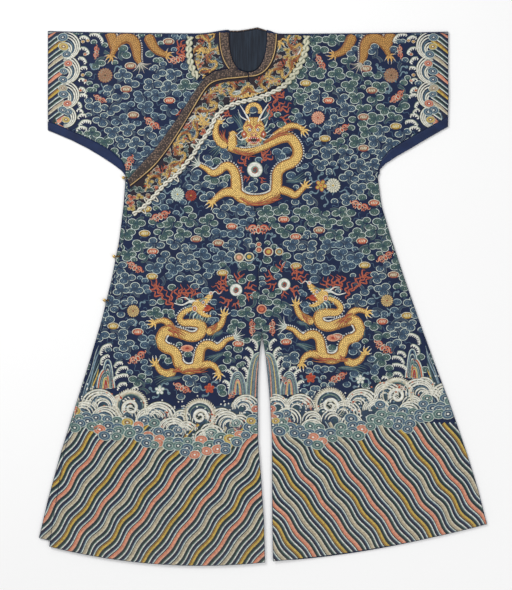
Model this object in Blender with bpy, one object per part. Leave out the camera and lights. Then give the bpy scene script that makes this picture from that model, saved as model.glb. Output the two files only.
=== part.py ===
"""A Chinese dragon robe, fastened and laid flat on its back.

+X is the wearer's left, +Y runs from the hem to the collar and +Z is up from the surface
that the robe lies on. The origin is on that surface, under the middle of the robe.

The robe is cut as such robes are. Two lengths of lined silk are folded over the shoulders,
each making half of the back, a sleeve and half of the front. They meet at the centre back.
The wearer's left length also meets the overlap, a separate front that crosses to the
wearer's right side and lies on that side's own front, the underlap. Centre seams open
into riding vents. On the fronts lie a wide collar, its brocade bands, gold piping and a
corded border. Ball buttons close the free edge of the overlap.
"""

import math
from collections import namedtuple

import bmesh
import bpy
from mathutils import Vector
from mathutils.bvhtree import BVHTree

# Walls and gaps, in metres.
LINED_SILK = 0.0016
COLLAR_SILK = 0.0010
BROCADE = 0.0013
LAYER_GAP = 0.0005
SEAM_GAP = 0.0003
TRIM_GAP = 0.0003

LEFT, RIGHT = 1, -1  # the wearer's sides, as the sign of X

# The neck opening is half of a slightly squared ellipse below the shoulder line.
NECK_X = -0.039
NECK_Y = 0.684
NECK_HALF_WIDTH = 0.0494
NECK_DEPTH = 0.103
NECK_SQUARENESS = 2.4
NECK_BAND_SIDE = 0.0240
NECK_BAND_FRONT = 0.0105

SHOULDER_Y = 0.680
CUFF_RISE = 0.006  # the shoulder line rises this much from the neck to the cuff
CUFF_X = 0.520
SHOULDER_RISE = 0.010  # beside the neck the shoulders lift a little
SHOULDER_RISE_REACH = {LEFT: 0.018, RIGHT: 0.045}
SHOULDER_CLEAR = 0.0012  # what lies on the fronts stops this far short of the shoulder line

# The centre seams run from the neck to the top of the vents.
VENT_TOP_X = -0.0026
VENT_TOP_Y = -0.1005
VentRow = namedtuple("VentRow", "y right_x left_x")
VENT = (
    VentRow(-0.693, 0.0055, 0.0262),
    VentRow(-0.590, 0.0030, 0.0240),
    VentRow(-0.468, -0.0050, 0.0234),
    VentRow(-0.374, -0.0125, 0.0230),
    VentRow(-0.281, -0.0132, 0.0185),
    VentRow(-0.218, -0.0128, 0.0130),
    VentRow(-0.160, -0.0104, 0.0070),
    VentRow(VENT_TOP_Y, VENT_TOP_X, VENT_TOP_X),
)

# The outer edge of each half, from the corner of the hem up to the shoulder.
Station = namedtuple("Station", "y x")
LEFT_SIDE = (
    Station(-0.593, 0.582),
    Station(-0.499, 0.558),
    Station(-0.406, 0.529),
    Station(-0.281, 0.486),
    Station(-0.170, 0.444),
    Station(-0.062, 0.405),
    Station(0.050, 0.366),
    Station(0.150, 0.333),
    Station(0.235, 0.308),
    Station(0.302, 0.299),
)
LEFT_SLEEVE = (
    Station(0.330, 0.300),
    Station(0.356, 0.310),
    Station(0.380, 0.330),
    Station(0.402, 0.365),
    Station(0.425, 0.406),
    Station(0.450, 0.452),
    Station(0.467, 0.481),
    Station(0.520, 0.4825),
    Station(0.570, 0.4815),
)
RIGHT_SIDE = (
    Station(-0.629, -0.582),
    Station(-0.530, -0.559),
    Station(-0.406, -0.525),
    Station(-0.281, -0.486),
    Station(-0.170, -0.451),
    Station(-0.062, -0.419),
    Station(0.050, -0.392),
    Station(0.150, -0.373),
    Station(0.235, -0.3625),
    Station(0.302, -0.3575),
)
RIGHT_SLEEVE = (
    Station(0.333, -0.358),
    Station(0.352, -0.366),
    Station(0.377, -0.393),
    Station(0.400, -0.433),
    Station(0.420, -0.475),
    Station(0.445, -0.533),
    Station(0.454, -0.559),
    Station(0.520, -0.559),
    Station(0.570, -0.559),
)
NECK_ROWS = (0.5815, 0.5845, 0.590, 0.600, 0.615, 0.637, 0.660)  # sections beside the neck
SIDE_SLANT = {LEFT: 0.096, RIGHT: 0.063}  # how far the hem drops from its corner to the vent
HEM_SAG = {LEFT: 0.013, RIGHT: 0.019}
BACK_INSET = 0.003  # the back stays this far inside the fronts at hem and vent
UNDERLAP_INSET = 0.007  # the underlap stops this far short of the centre seam
# The free top edge of the back inside the neck.
BACK_NECK = (
    Station(0.6900, -0.0884),
    Station(0.6900, -0.0637),
    Station(0.6935, -0.0390),
    Station(0.6985, -0.0143),
    Station(0.6905, 0.0104),
)
BINDING_WIDTH = 0.0036
LINING_CLEAR = 0.0014
BODY_COLUMNS = 12
NECK_COLUMNS = 2
SHOULDER_STEPS = 4
FRONT_SKIRT_ROWS = 20  # a front has a section this many times between hem and underarm

# The overlap: its free side edge, and its cut edge from the underarm to the neck.
OVERLAP_SIDE = (
    Station(-0.651, -0.555),
    Station(-0.590, -0.547),
    Station(-0.500, -0.532),
    Station(-0.406, -0.5165),
    Station(-0.281, -0.480),
    Station(-0.170, -0.445),
    Station(-0.062, -0.412),
    Station(0.050, -0.3845),
    Station(0.120, -0.367),
    Station(0.187, -0.354),
    Station(0.250, -0.352),
    Station(0.302, -0.352),
)
OVERLAP_CUT = (
    Station(0.320, -0.337),
    Station(0.348, -0.3115),
    Station(0.378, -0.284),
    Station(0.415, -0.256),
    Station(0.459, -0.225),
    Station(0.503, -0.196),
    Station(0.540, -0.172),
    Station(0.567, -0.151),
    Station(0.583, -0.128),
    Station(0.589, -0.099),
    Station(0.590, -0.070),
)
OVERLAP_TOP_Y = 0.5803  # where the overlap's neckline meets the centre seam
OVERLAP_NECK_BOW = 0.0014
CUT_CLEAR = 0.0024  # the collar on the right front stops this far short of the overlap's cut edge
OVERLAP_SLANT = 0.041
OVERLAP_SAG = 0.025

# Curves on the fronts, as points from the neck or shoulder outwards.
Point = namedtuple("Point", "x y")
OVERLAP_PIPING = (
    Point(-0.0385, 0.5700),
    Point(-0.069, 0.5668),
    Point(-0.099, 0.5637),
    Point(-0.130, 0.5556),
    Point(-0.151, 0.5369),
    Point(-0.179, 0.4919),
    Point(-0.204, 0.4501),
    Point(-0.228, 0.4125),
    Point(-0.251, 0.3783),
    Point(-0.279, 0.3430),
    Point(-0.309, 0.3150),
    Point(-0.345, 0.2865),
)
BORDER_FRONT = (
    Point(0.1095, 0.676),
    Point(0.1065, 0.637),
    Point(0.090, 0.597),
    Point(0.067, 0.564),
    Point(0.044, 0.540),
    Point(0.007, 0.5215),
    Point(-0.029, 0.510),
    Point(-0.072, 0.4995),
    Point(-0.098, 0.487),
    Point(-0.121, 0.4664),
    Point(-0.138, 0.4316),
    Point(-0.163, 0.3968),
    Point(-0.180, 0.3689),
    Point(-0.204, 0.3388),
    Point(-0.224, 0.3156),
    Point(-0.251, 0.2935),
    Point(-0.275, 0.2678),
    Point(-0.304, 0.2366),
    Point(-0.337, 0.2115),
)
BORDER_RIGHT = (
    Point(-0.186, 0.673),
    Point(-0.189, 0.637),
    Point(-0.183, 0.600),
    Point(-0.173, 0.578),
    Point(-0.165, 0.570),
)
BORDER_HALF_WIDTH = 0.0070
BORDER_HALF_HEIGHT = 0.0019
BORDER_PITCH = 0.036
BORDER_STEP = 0.009
PIPING_RADIUS = 0.0013
PIPING_STEP = 0.013

# Soft folds in the fronts, each a ridge along a line from start to end.
Fold = namedtuple("Fold", "x0 y0 x1 y1 half_width height")
FOLDS = (
    Fold(0.235, 0.180, 0.330, -0.250, 0.070, 0.0026),
    Fold(0.130, -0.300, 0.160, -0.540, 0.065, 0.0024),
    Fold(0.380, -0.340, 0.425, -0.500, 0.065, 0.0022),
    Fold(-0.270, 0.110, -0.350, -0.240, 0.070, 0.0026),
    Fold(-0.130, -0.310, -0.145, -0.540, 0.065, 0.0024),
    Fold(-0.330, -0.360, -0.375, -0.520, 0.065, 0.0020),
    Fold(0.250, 0.500, 0.400, 0.550, 0.065, 0.0022),
    Fold(-0.330, 0.520, -0.470, 0.555, 0.065, 0.0022),
)
SEAM_SLOPE = 0.140  # the left front comes down off the underlap over this width
TOP_SLOPE = (0.560, 0.670)  # towards the shoulder the fronts come down to the fold between these heights

# The plain gussets below the sleeves, folded along the outline of the sleeve.
GUSSET_LEFT = (
    Point(0.300, 0.314),
    Point(0.3035, 0.328),
    Point(0.319, 0.344),
    Point(0.348, 0.363),
    Point(0.385, 0.384),
    Point(0.420, 0.405),
    Point(0.458, 0.427),
    Point(0.4805, 0.4395),
)
GUSSET_RIGHT = (
    Point(-0.359, 0.3155),
    Point(-0.368, 0.326),
    Point(-0.389, 0.342),
    Point(-0.421, 0.363),
    Point(-0.458, 0.385),
    Point(-0.500, 0.406),
    Point(-0.545, 0.425),
    Point(-0.559, 0.4305),
)
GUSSET_LEAST = 0.0038  # the gusset's point is this wide

# Ball buttons beside the wearer's right edge: height up the robe.
BUTTON_Y = (0.3075, 0.103, -0.011)
BALL_RADIUS = 0.0042
BALL_GAP = 0.0010
SHANK_RADIUS = 0.0009
LOOP_RADIUS = 0.0008
LOOP_REACH = 0.0022  # the loop arches over the shank this far inside the robe's edge

COLOURS = {
    "navy silk": (0.020, 0.032, 0.085),
    "plain silk": (0.016, 0.028, 0.090),
    "lining": (0.018, 0.026, 0.045),
    "collar silk": (0.045, 0.028, 0.020),
    "brocade": (0.085, 0.050, 0.032),
    "gold cord": (0.48, 0.33, 0.13),
    "white cord": (0.60, 0.58, 0.47),
    "gilt brass": (0.50, 0.36, 0.16),
    "loop cord": (0.10, 0.07, 0.05),
}


def clear_scene():
    """Removes whatever the startup file holds."""
    for old in list(bpy.data.objects):
        bpy.data.objects.remove(old)


def material(name, roughness, metallic):
    """One Principled material for each colour in the table."""
    made = bpy.data.materials.get(name)
    if made is None:
        made = bpy.data.materials.new(name)
        made.use_nodes = True
        shader = made.node_tree.nodes["Principled BSDF"]
        shader.inputs["Base Color"].default_value = (*COLOURS[name], 1.0)
        shader.inputs["Roughness"].default_value = roughness
        shader.inputs["Metallic"].default_value = metallic
    return made


def ease(t):
    """0 before 0, 1 after 1, and a smooth step between."""
    t = min(1.0, max(0.0, t))
    return t * t * (3 - 2 * t)


def read_table(table, value, column, by="y"):
    """The column's value where the table's other column has this value, on straight lines between rows."""
    rows = sorted(table, key=lambda row: getattr(row, by))
    value = min(max(value, getattr(rows[0], by)), getattr(rows[-1], by))
    for low, high in zip(rows, rows[1:]):
        start, end = getattr(low, by), getattr(high, by)
        if value <= end:
            share = (value - start) / (end - start)
            return getattr(low, column) * (1 - share) + getattr(high, column) * share
    return getattr(rows[-1], column)


def seam_x(y):
    """The centre seam, which leans slightly from the neck to the vents."""
    share = (y - VENT_TOP_Y) / (NECK_Y - NECK_DEPTH - VENT_TOP_Y)
    return VENT_TOP_X + (NECK_X - VENT_TOP_X) * max(0.0, min(1.0, share))


def centre_edge(y, side):
    """The edge that a piece on this side has along the centre seam and the vent below it."""
    if y >= VENT_TOP_Y:
        return seam_x(y) + side * SEAM_GAP / 2
    return read_table(VENT, y, "left_x" if side == LEFT else "right_x") + side * SEAM_GAP / 2


def neck_curve(angle, side, extra_side=0.0, extra_front=0.0):
    """A point of the neckline: angle 0 is at the shoulder, pi/2 at the centre front."""
    power = 2 / NECK_SQUARENESS
    return Point(
        NECK_X + side * (NECK_HALF_WIDTH + extra_side) * max(0.0, math.cos(angle)) ** power,
        NECK_Y - (NECK_DEPTH + extra_front) * max(0.0, math.sin(angle)) ** power,
    )


def neck_angle(y, extra_front):
    """The angle at which the neckline, widened at the front, passes this height."""
    return math.asin(((NECK_Y - y) / (NECK_DEPTH + extra_front)) ** (NECK_SQUARENESS / 2))


def neck_edge(y, side, inset=0.0):
    """The edge of a front at this height: the centre seam below the neck, the neckline beside it."""
    below = (NECK_Y - y) / NECK_DEPTH
    if below >= 1:
        return centre_edge(y, side) + side * inset
    reach = NECK_HALF_WIDTH * (1 - max(0.0, below) ** NECK_SQUARENESS) ** (1 / NECK_SQUARENESS)
    return NECK_X + side * max(reach, inset + SEAM_GAP / 2)


def shoulder_y(x):
    """The shoulder line, which rises beside the neck and slightly towards the cuffs."""
    side = LEFT if x > NECK_X else RIGHT
    beside = max(0.0, abs(x - NECK_X) - NECK_HALF_WIDTH)
    near_neck = math.exp(-((beside / SHOULDER_RISE_REACH[side]) ** 2))
    return SHOULDER_Y + CUFF_RISE * (x / CUFF_X) ** 2 + SHOULDER_RISE * near_neck


def distance_to_fold(x, y, fold):
    """How far a point lies from the line of a fold."""
    along_x, along_y = fold.x1 - fold.x0, fold.y1 - fold.y0
    length_squared = along_x**2 + along_y**2
    share = ((x - fold.x0) * along_x + (y - fold.y0) * along_y) / length_squared
    share = min(1.0, max(0.0, share))
    return math.hypot(x - fold.x0 - share * along_x, y - fold.y0 - share * along_y)


def below_shoulder(y):
    """1 on the body of a front, easing to 0 at the shoulder, where the fold is round and tight."""
    low, high = TOP_SLOPE
    return 1 - ease((y - low) / (high - low))


def first_front(x, y):
    """The underside of a front that lies straight on the back, with its soft folds."""
    folds = sum(f.height * math.exp(-((distance_to_fold(x, y, f) / f.half_width) ** 2)) for f in FOLDS)
    return LINED_SILK + LAYER_GAP + folds * below_shoulder(y)


def second_front(x, y):
    """The underside of the overlap, which lies on the underlap."""
    return first_front(x, y) + LINED_SILK + LAYER_GAP


def left_front(x, y):
    """The underside of the left front, which comes down off the underlap beside the centre seam."""
    on_underlap = 1 - ease((x - centre_edge(y, LEFT)) / SEAM_SLOPE)
    return first_front(x, y) + (LINED_SILK + LAYER_GAP) * on_underlap * below_shoulder(y)


def finish(name, mesh, colour, roughness=0.75, metallic=0.0):
    """Puts a bmesh into the scene as one named object with its material."""
    bmesh.ops.remove_doubles(mesh, verts=mesh.verts, dist=1e-6)
    bmesh.ops.recalc_face_normals(mesh, faces=mesh.faces)
    data = bpy.data.meshes.new(name)
    mesh.to_mesh(data)
    mesh.free()
    data.materials.append(material(colour, roughness, metallic))
    data.shade_smooth()
    data.set_sharp_from_angle(angle=math.radians(35))
    made = bpy.data.objects.new(name, data)
    bpy.context.scene.collection.objects.link(made)
    return made


def wall(name, lower, upper, cells, colour):
    """A closed sheet between two grids of points, walled along every edge of the given cells.

    lower and upper map (row, column) to a point. cells lists the (row, column) of each
    cell's first corner.
    """
    mesh = bmesh.new()
    low = {key: mesh.verts.new(point) for key, point in lower.items()}
    high = {key: mesh.verts.new(point) for key, point in upper.items()}
    uses = {}
    for row, column in cells:
        ring = [(row, column), (row, column + 1), (row + 1, column + 1), (row + 1, column)]
        mesh.faces.new([high[key] for key in ring])
        mesh.faces.new([low[key] for key in reversed(ring)])
        for start, end in zip(ring, ring[1:] + ring[:1]):
            edge = tuple(sorted((start, end)))
            uses[edge] = uses.get(edge, 0) + 1
    for (start, end), count in uses.items():
        if count == 1:
            mesh.faces.new([low[start], low[end], high[end], high[start]])
    return finish(name, mesh, colour)


def all_cells(rows, columns):
    """The cells of a grid with this many rows and columns of points."""
    return [(row, column) for row in range(rows - 1) for column in range(columns - 1)]


Section = namedtuple("Section", "inner outer sag")


def across(section, columns=BODY_COLUMNS):
    """Points of one section, from the centre edge to the side, bowed downwards by its sag."""
    inner, outer, sag = section
    points = []
    for column in range(columns + 1):
        share = column / columns
        bow = 4 * sag * share * (1 - share)
        x = inner.x + (outer.x - inner.x) * share
        points.append(Point(x, inner.y + (outer.y - inner.y) * share - bow))
    return points


def skirt_sections(table, side, slant, sag, heights):
    """Sections from the hem to the underarm, slanted like the hem at the bottom and level at the top."""
    first, last = table[0].y, table[-1].y
    sections = []
    for y in heights:
        share = (y - first) / (last - first)
        centre_y = y - slant * (1 - share)
        inner = Point(centre_edge(centre_y, side), centre_y)
        sections.append(Section(inner, Point(read_table(table, y, "x"), y), sag * (1 - share)))
    return sections


def even_heights(table, rows):
    """Heights at even steps from the table's first row to its last."""
    first, last = table[0].y, table[-1].y
    return [first + (last - first) * k / rows for k in range(rows + 1)]


def length_sections(side, heights):
    """All the sections of one half, from the hem to the shoulder line."""
    side_table, sleeve_table = SIDES[side]
    sections = skirt_sections(side_table, side, SIDE_SLANT[side], HEM_SAG[side], heights)
    for y in [station.y for station in sleeve_table] + list(NECK_ROWS) + [SHOULDER_Y]:
        inner = Point(neck_edge(y, side), y)
        sections.append(Section(inner, Point(read_table(sleeve_table, y, "x"), y), 0.0))
    return sections


SIDES = {LEFT: (LEFT_SIDE, LEFT_SLEEVE), RIGHT: (RIGHT_SIDE, RIGHT_SLEEVE)}


def back_section(side, section):
    """Points of the back: the columns beside the centre seam, which end at the neck, and the body's."""
    y = section.inner.y
    centre_x = section.inner.x if y < NECK_Y - NECK_DEPTH else NECK_X + side * SEAM_GAP / 2
    if y < VENT_TOP_Y:
        centre_x += side * BACK_INSET * ease((VENT_TOP_Y - y) / 0.06)
    neck_x = centre_x + side * NECK_HALF_WIDTH
    if y >= SHOULDER_Y:
        neck_x = NECK_X + side * NECK_HALF_WIDTH
    body = across(Section(Point(neck_x, y), section.outer, section.sag))
    neck = [Point(centre_x + (neck_x - centre_x) * k / NECK_COLUMNS, y) for k in range(NECK_COLUMNS)]
    top = [read_table(BACK_NECK, p.x, "y", by="x") for p in neck] + [shoulder_y(p.x) for p in body]
    near_top = ease((y - NECK_ROWS[3]) / (SHOULDER_Y - NECK_ROWS[3]))
    return [Point(p.x, p.y + (t - SHOULDER_Y) * near_top) for p, t in zip(neck + body, top)]


def front_section(side, section, inset):
    """Points of a front, from its centre edge or neckline to its side."""
    y = section.inner.y
    inner_x = neck_edge(y, side, inset) if y > VENT_TOP_Y else section.inner.x + side * inset
    near_top = ease((y - NECK_ROWS[3]) / (SHOULDER_Y - NECK_ROWS[3]))
    points = across(Section(Point(inner_x, y), section.outer, section.sag))
    return [Point(p.x, p.y + (shoulder_y(p.x) - SHOULDER_Y) * near_top) for p in points]


def folded_length(name, side, underside, inset=0.0):
    """Half of the back, a sleeve and a front, as one sheet folded over the shoulder.

    Rows run from the hem of the back up to the shoulder, round the fold and down the front.
    The first columns, between the centre back and the side of the neck, end at the neck.
    """
    side_table = SIDES[side][0]
    outside, inside, cells = {}, {}, []
    columns = NECK_COLUMNS + BODY_COLUMNS
    row = 0
    for section in length_sections(side, [station.y for station in side_table]):
        hem_inset = 0.0 if row else BACK_INSET
        for column, point in enumerate(back_section(side, section)):
            outside[row, column] = (point.x, point.y + hem_inset, 0.0)
            inside[row, column] = (point.x, point.y + hem_inset, LINED_SILK)
        cells += [(row - 1, column) for column in range(columns) if row]
        row += 1
    shoulder_row = row - 1
    outer_radius = LINED_SILK + LAYER_GAP / 2
    inner_radius = LAYER_GAP / 2
    for step in range(1, SHOULDER_STEPS):
        angle = math.pi * (step / SHOULDER_STEPS - 0.5)
        for column in range(NECK_COLUMNS, columns + 1):
            x, y, _ = outside[shoulder_row, column]
            for grid, radius in ((outside, outer_radius), (inside, inner_radius)):
                grid[row, column] = (x, y + radius * math.cos(angle), outer_radius + radius * math.sin(angle))
        cells += [(row - 1, column) for column in range(NECK_COLUMNS, columns)]
        row += 1
    for section in reversed(length_sections(side, even_heights(side_table, FRONT_SKIRT_ROWS))):
        for column, point in enumerate(front_section(side, section, inset), start=NECK_COLUMNS):
            z = underside(point.x, point.y)
            inside[row, column] = (point.x, point.y, z)
            outside[row, column] = (point.x, point.y, z + LINED_SILK)
        cells += [(row - 1, column) for column in range(NECK_COLUMNS, columns)]
        row += 1
    return wall(name, outside, inside, cells, "navy silk")


def overlap_front():
    """The front that crosses over, from the centre seam to its free side and its cut edge."""
    heights = even_heights(OVERLAP_SIDE, FRONT_SKIRT_ROWS)
    sections = skirt_sections(OVERLAP_SIDE, RIGHT, OVERLAP_SLANT, OVERLAP_SAG, heights)
    first_y = OVERLAP_SIDE[-1].y
    for number, station in enumerate(OVERLAP_CUT, start=1):
        share = number / len(OVERLAP_CUT)
        inner_y = first_y + (OVERLAP_TOP_Y - first_y) * share
        bow = OVERLAP_NECK_BOW if station is OVERLAP_CUT[-1] else 0.0
        sections.append(Section(Point(centre_edge(inner_y, RIGHT), inner_y), Point(station.x, station.y), bow))
    lower, upper = {}, {}
    for row, section in enumerate(sections):
        for column, point in enumerate(across(section)):
            z = second_front(point.x, point.y)
            lower[row, column] = (point.x, point.y, z)
            upper[row, column] = (point.x, point.y, z + LINED_SILK)
    return wall("overlap_front", lower, upper, all_cells(len(sections), BODY_COLUMNS + 1), "navy silk")


def smooth_path(points, step):
    """Points about one step apart on a Catmull-Rom curve through the given ones."""
    ends = [points[0], *points, points[-1]]
    pieces = 12
    fine = []
    for before, start, end, after in zip(ends, ends[1:], ends[2:], ends[3:]):
        for k in range(pieces):
            t = k / pieces
            weights = (-t + 2 * t**2 - t**3, 2 - 5 * t**2 + 3 * t**3, t + 4 * t**2 - 3 * t**3, -(t**2) + t**3)
            near = (before, start, end, after)
            fine.append(
                Point(
                    sum(w * p.x for w, p in zip(weights, near)) / 2,
                    sum(w * p.y for w, p in zip(weights, near)) / 2,
                )
            )
    fine.append(Point(*points[-1]))
    length = sum(math.dist(a, b) for a, b in zip(fine, fine[1:]))
    return spaced(fine, max(2, round(length / step)))


def spaced(path, count):
    """The path cut into this many even steps."""
    lengths = [0.0]
    for start, end in zip(path, path[1:]):
        lengths.append(lengths[-1] + math.dist(start, end))
    points, place = [], 0
    for k in range(count + 1):
        wanted = lengths[-1] * k / count
        while place < len(path) - 2 and lengths[place + 1] < wanted:
            place += 1
        share = (wanted - lengths[place]) / (lengths[place + 1] - lengths[place])
        start, end = path[place], path[place + 1]
        points.append(Point(start.x + (end.x - start.x) * share, start.y + (end.y - start.y) * share))
    return points


def sideways(path, k):
    """The unit vector to the left of a path at its point k."""
    start, end = path[max(0, k - 1)], path[min(len(path) - 1, k + 1)]
    run = Vector((end.x - start.x, end.y - start.y)).normalized()
    return Vector((-run.y, run.x))


def offset(path, distance):
    """A path moved to its left by a distance."""
    moved = []
    for k, point in enumerate(path):
        left = sideways(path, k) * distance
        moved.append(Point(point.x + left.x, point.y + left.y))
    return moved


def top_of(underside, *objects):
    """A function that gives the height of the uppermost of these objects at a place.

    It is never below the front whose underside is given, also just past that front's edge.
    """
    trees = []
    for made in objects:
        vertices = [v.co.copy() for v in made.data.vertices]
        trees.append(BVHTree.FromPolygons(vertices, [list(p.vertices) for p in made.data.polygons]))

    def height(x, y):
        hits = [tree.ray_cast(Vector((x, y, 1.0)), Vector((0, 0, -1)))[0] for tree in trees]
        return max([underside(x, y) + LINED_SILK] + [hit.z for hit in hits if hit])

    return height


def strip(name, side_a, side_b, columns, height, thickness, colour):
    """A flat piece between two edges, laid on the surface that height gives."""
    lower, upper = {}, {}
    for row, (a, b) in enumerate(zip(side_a, side_b)):
        for column in range(columns + 1):
            share = column / columns
            x, y = a.x + (b.x - a.x) * share, a.y + (b.y - a.y) * share
            z = height(x, y) + TRIM_GAP
            lower[row, column] = (x, y, z)
            upper[row, column] = (x, y, z + thickness)
    return wall(name, lower, upper, all_cells(len(side_a), columns + 1), colour)


def cord(name, path, height, half_width, half_height, colour, sides=6, pitch=None):
    """A cord laid along a path. With a pitch, two strands wind round each other."""
    mesh = bmesh.new()
    rings, travelled = [], 0.0
    for k, point in enumerate(path):
        if k:
            travelled += math.dist(path[k - 1], point)
        left = sideways(path, k)
        below = [(point.x + left.x * d, point.y + left.y * d) for d in (-half_width, 0.0, half_width)]
        base = max(height(x, y) for x, y in below) + TRIM_GAP
        ring = []
        for side in range(sides):
            angle = 2 * math.pi * side / sides
            swell = 1.0
            if pitch:
                swell = 0.88 + 0.12 * math.cos(2 * (angle - math.pi * travelled / pitch))
            reach = half_width * swell * math.cos(angle)
            rise = half_height * (1 + swell * math.sin(angle))
            ring.append(mesh.verts.new((point.x + left.x * reach, point.y + left.y * reach, base + rise)))
        rings.append(ring)
    return tube_between(name, mesh, rings, colour)


def tube_between(name, mesh, rings, colour, **looks):
    """Closes a row of rings into a capped tube."""
    for ring, following in zip(rings, rings[1:]):
        for k in range(len(ring)):
            after = (k + 1) % len(ring)
            mesh.faces.new([ring[k], ring[after], following[after], following[k]])
    mesh.faces.new(rings[0])
    mesh.faces.new(rings[-1])
    return finish(name, mesh, colour, **looks)


def gusset(name, side, outline):
    """The plain strip below a sleeve: one piece, folded along the sleeve's lower outline."""
    side_table, sleeve_table = SIDES[side]
    cuff = next(k for k, s in enumerate(sleeve_table) if abs(s.x) >= abs(outline[-1].x) - 1e-4)
    start = Point(read_table((side_table[-1], *sleeve_table), outline[0].y, "x"), outline[0].y)
    sleeve = [start] + [Point(s.x, s.y) for s in sleeve_table[: cuff + 1] if s.y > start.y]
    near_path = [Point((a.x + b.x) / 2, (a.y + b.y) / 2) for a, b in zip(sleeve, sleeve[1:])]
    near_path = [p for pair in zip(sleeve, near_path) for p in pair] + [sleeve[-1]]
    far_path = spaced(list(outline), len(near_path) - 1)
    middle = LINED_SILK + LAYER_GAP / 2
    inside, outside = {}, {}
    for row, (sewn, far) in enumerate(zip(near_path, far_path)):
        near = Vector((sewn.x + side * SEAM_GAP, sewn.y - SEAM_GAP))
        reach = Vector((far.x, far.y)) - near
        length = max(reach.length, GUSSET_LEAST)
        run = reach.normalized()
        for column, (share, angle) in enumerate(((0, -90), (1, -90), (1, 0), (1, 90), (0, 90))):
            turned = math.radians(angle)
            for grid, radius in ((outside, middle), (inside, LAYER_GAP / 2)):
                place = near + run * share * (length - middle + radius * math.cos(turned))
                grid[row, column] = (place.x, place.y, middle + radius * math.sin(turned))
    return wall(name, inside, outside, all_cells(len(near_path), 5), "plain silk")


def band_edge(side, last, count, extra_side, extra_front):
    """An edge of a band round the neck, from the shoulder to the angle last."""
    edge = [neck_curve(last * k / count, side, extra_side, extra_front) for k in range(count + 1)]
    top = [shoulder_y(p.x) - SHOULDER_CLEAR for p in edge]
    return [Point(edge[0].x, top[0])] + [Point(p.x, min(p.y, t)) for p, t in zip(edge[1:], top[1:])]


def beside_seam(path, side):
    """The part of a path that lies on this side of the centre seam."""
    clear = 2 * SEAM_GAP
    return [p for p in path if side * (p.x - seam_x(p.y)) > clear]


def left_collar(left):
    """The brocade band and the collar silk on the left front."""
    on_left = top_of(left_front, left)
    count = 10
    last = math.pi / 2 - 0.02
    inner = band_edge(LEFT, last, count, TRIM_GAP, TRIM_GAP)
    middle = band_edge(LEFT, last, count, NECK_BAND_SIDE, NECK_BAND_FRONT)
    band = strip("neck_band_left", inner, middle, 2, on_left, BROCADE, "brocade")
    sewn = band_edge(LEFT, last, count, NECK_BAND_SIDE + SEAM_GAP, NECK_BAND_FRONT + SEAM_GAP)
    border = offset(smooth_path(BORDER_FRONT, 0.004), -BORDER_HALF_WIDTH - SEAM_GAP)
    outer = spaced(beside_seam(border, LEFT), count)
    silk = strip("collar_left", sewn, outer, 4, on_left, COLLAR_SILK, "collar silk")
    cord("neck_piping_left", spaced(middle, count), top_of(left_front, left, band, silk),
         PIPING_RADIUS, PIPING_RADIUS, "gold cord")


def right_collar(right):
    """The brocade band and the collar silk on the wearer's right shoulder, down to the overlap."""
    on_right = top_of(first_front, right)
    count = 8
    end_y = OVERLAP_CUT[-1].y + 2 * SEAM_GAP
    inner = band_edge(RIGHT, neck_angle(end_y, TRIM_GAP), count, TRIM_GAP, TRIM_GAP)
    last = neck_angle(end_y, NECK_BAND_FRONT)
    middle = band_edge(RIGHT, last, count, NECK_BAND_SIDE, NECK_BAND_FRONT)
    band = strip("neck_band_right", inner, middle, 2, on_right, BROCADE, "brocade")
    sewn = band_edge(RIGHT, last, count, NECK_BAND_SIDE + SEAM_GAP, NECK_BAND_FRONT + SEAM_GAP)
    outer = spaced(offset(smooth_path(BORDER_RIGHT, 0.004), BORDER_HALF_WIDTH + SEAM_GAP), count)
    cut = [Point(s.x, s.y) for s in reversed(OVERLAP_CUT)]
    cut = [sewn[-1]] + [p for p in offset(cut, -CUT_CLEAR) if outer[-1].x < p.x < sewn[-1].x] + [outer[-1]]
    lower, upper = {}, {}
    columns = 12
    for row in range(count + 1):
        for column, low in enumerate(spaced(cut, columns)):
            share = column / columns
            straight = sewn[-1].y + (outer[-1].y - sewn[-1].y) * share
            x = sewn[row].x + (outer[row].x - sewn[row].x) * share
            y = sewn[row].y + (outer[row].y - sewn[row].y) * share + (low.y - straight) * row / count
            z = on_right(x, y) + TRIM_GAP
            lower[row, column] = (x, y, z)
            upper[row, column] = (x, y, z + COLLAR_SILK)
    silk = wall("collar_right", lower, upper, all_cells(count + 1, columns + 1), "collar silk")
    cord("neck_piping_right", spaced(middle, count), top_of(first_front, right, band, silk),
         PIPING_RADIUS, PIPING_RADIUS, "gold cord")
    cord("border_right", smooth_path(BORDER_RIGHT, BORDER_STEP), on_right,
         BORDER_HALF_WIDTH, BORDER_HALF_HEIGHT, "white cord", sides=8, pitch=BORDER_PITCH)


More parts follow.
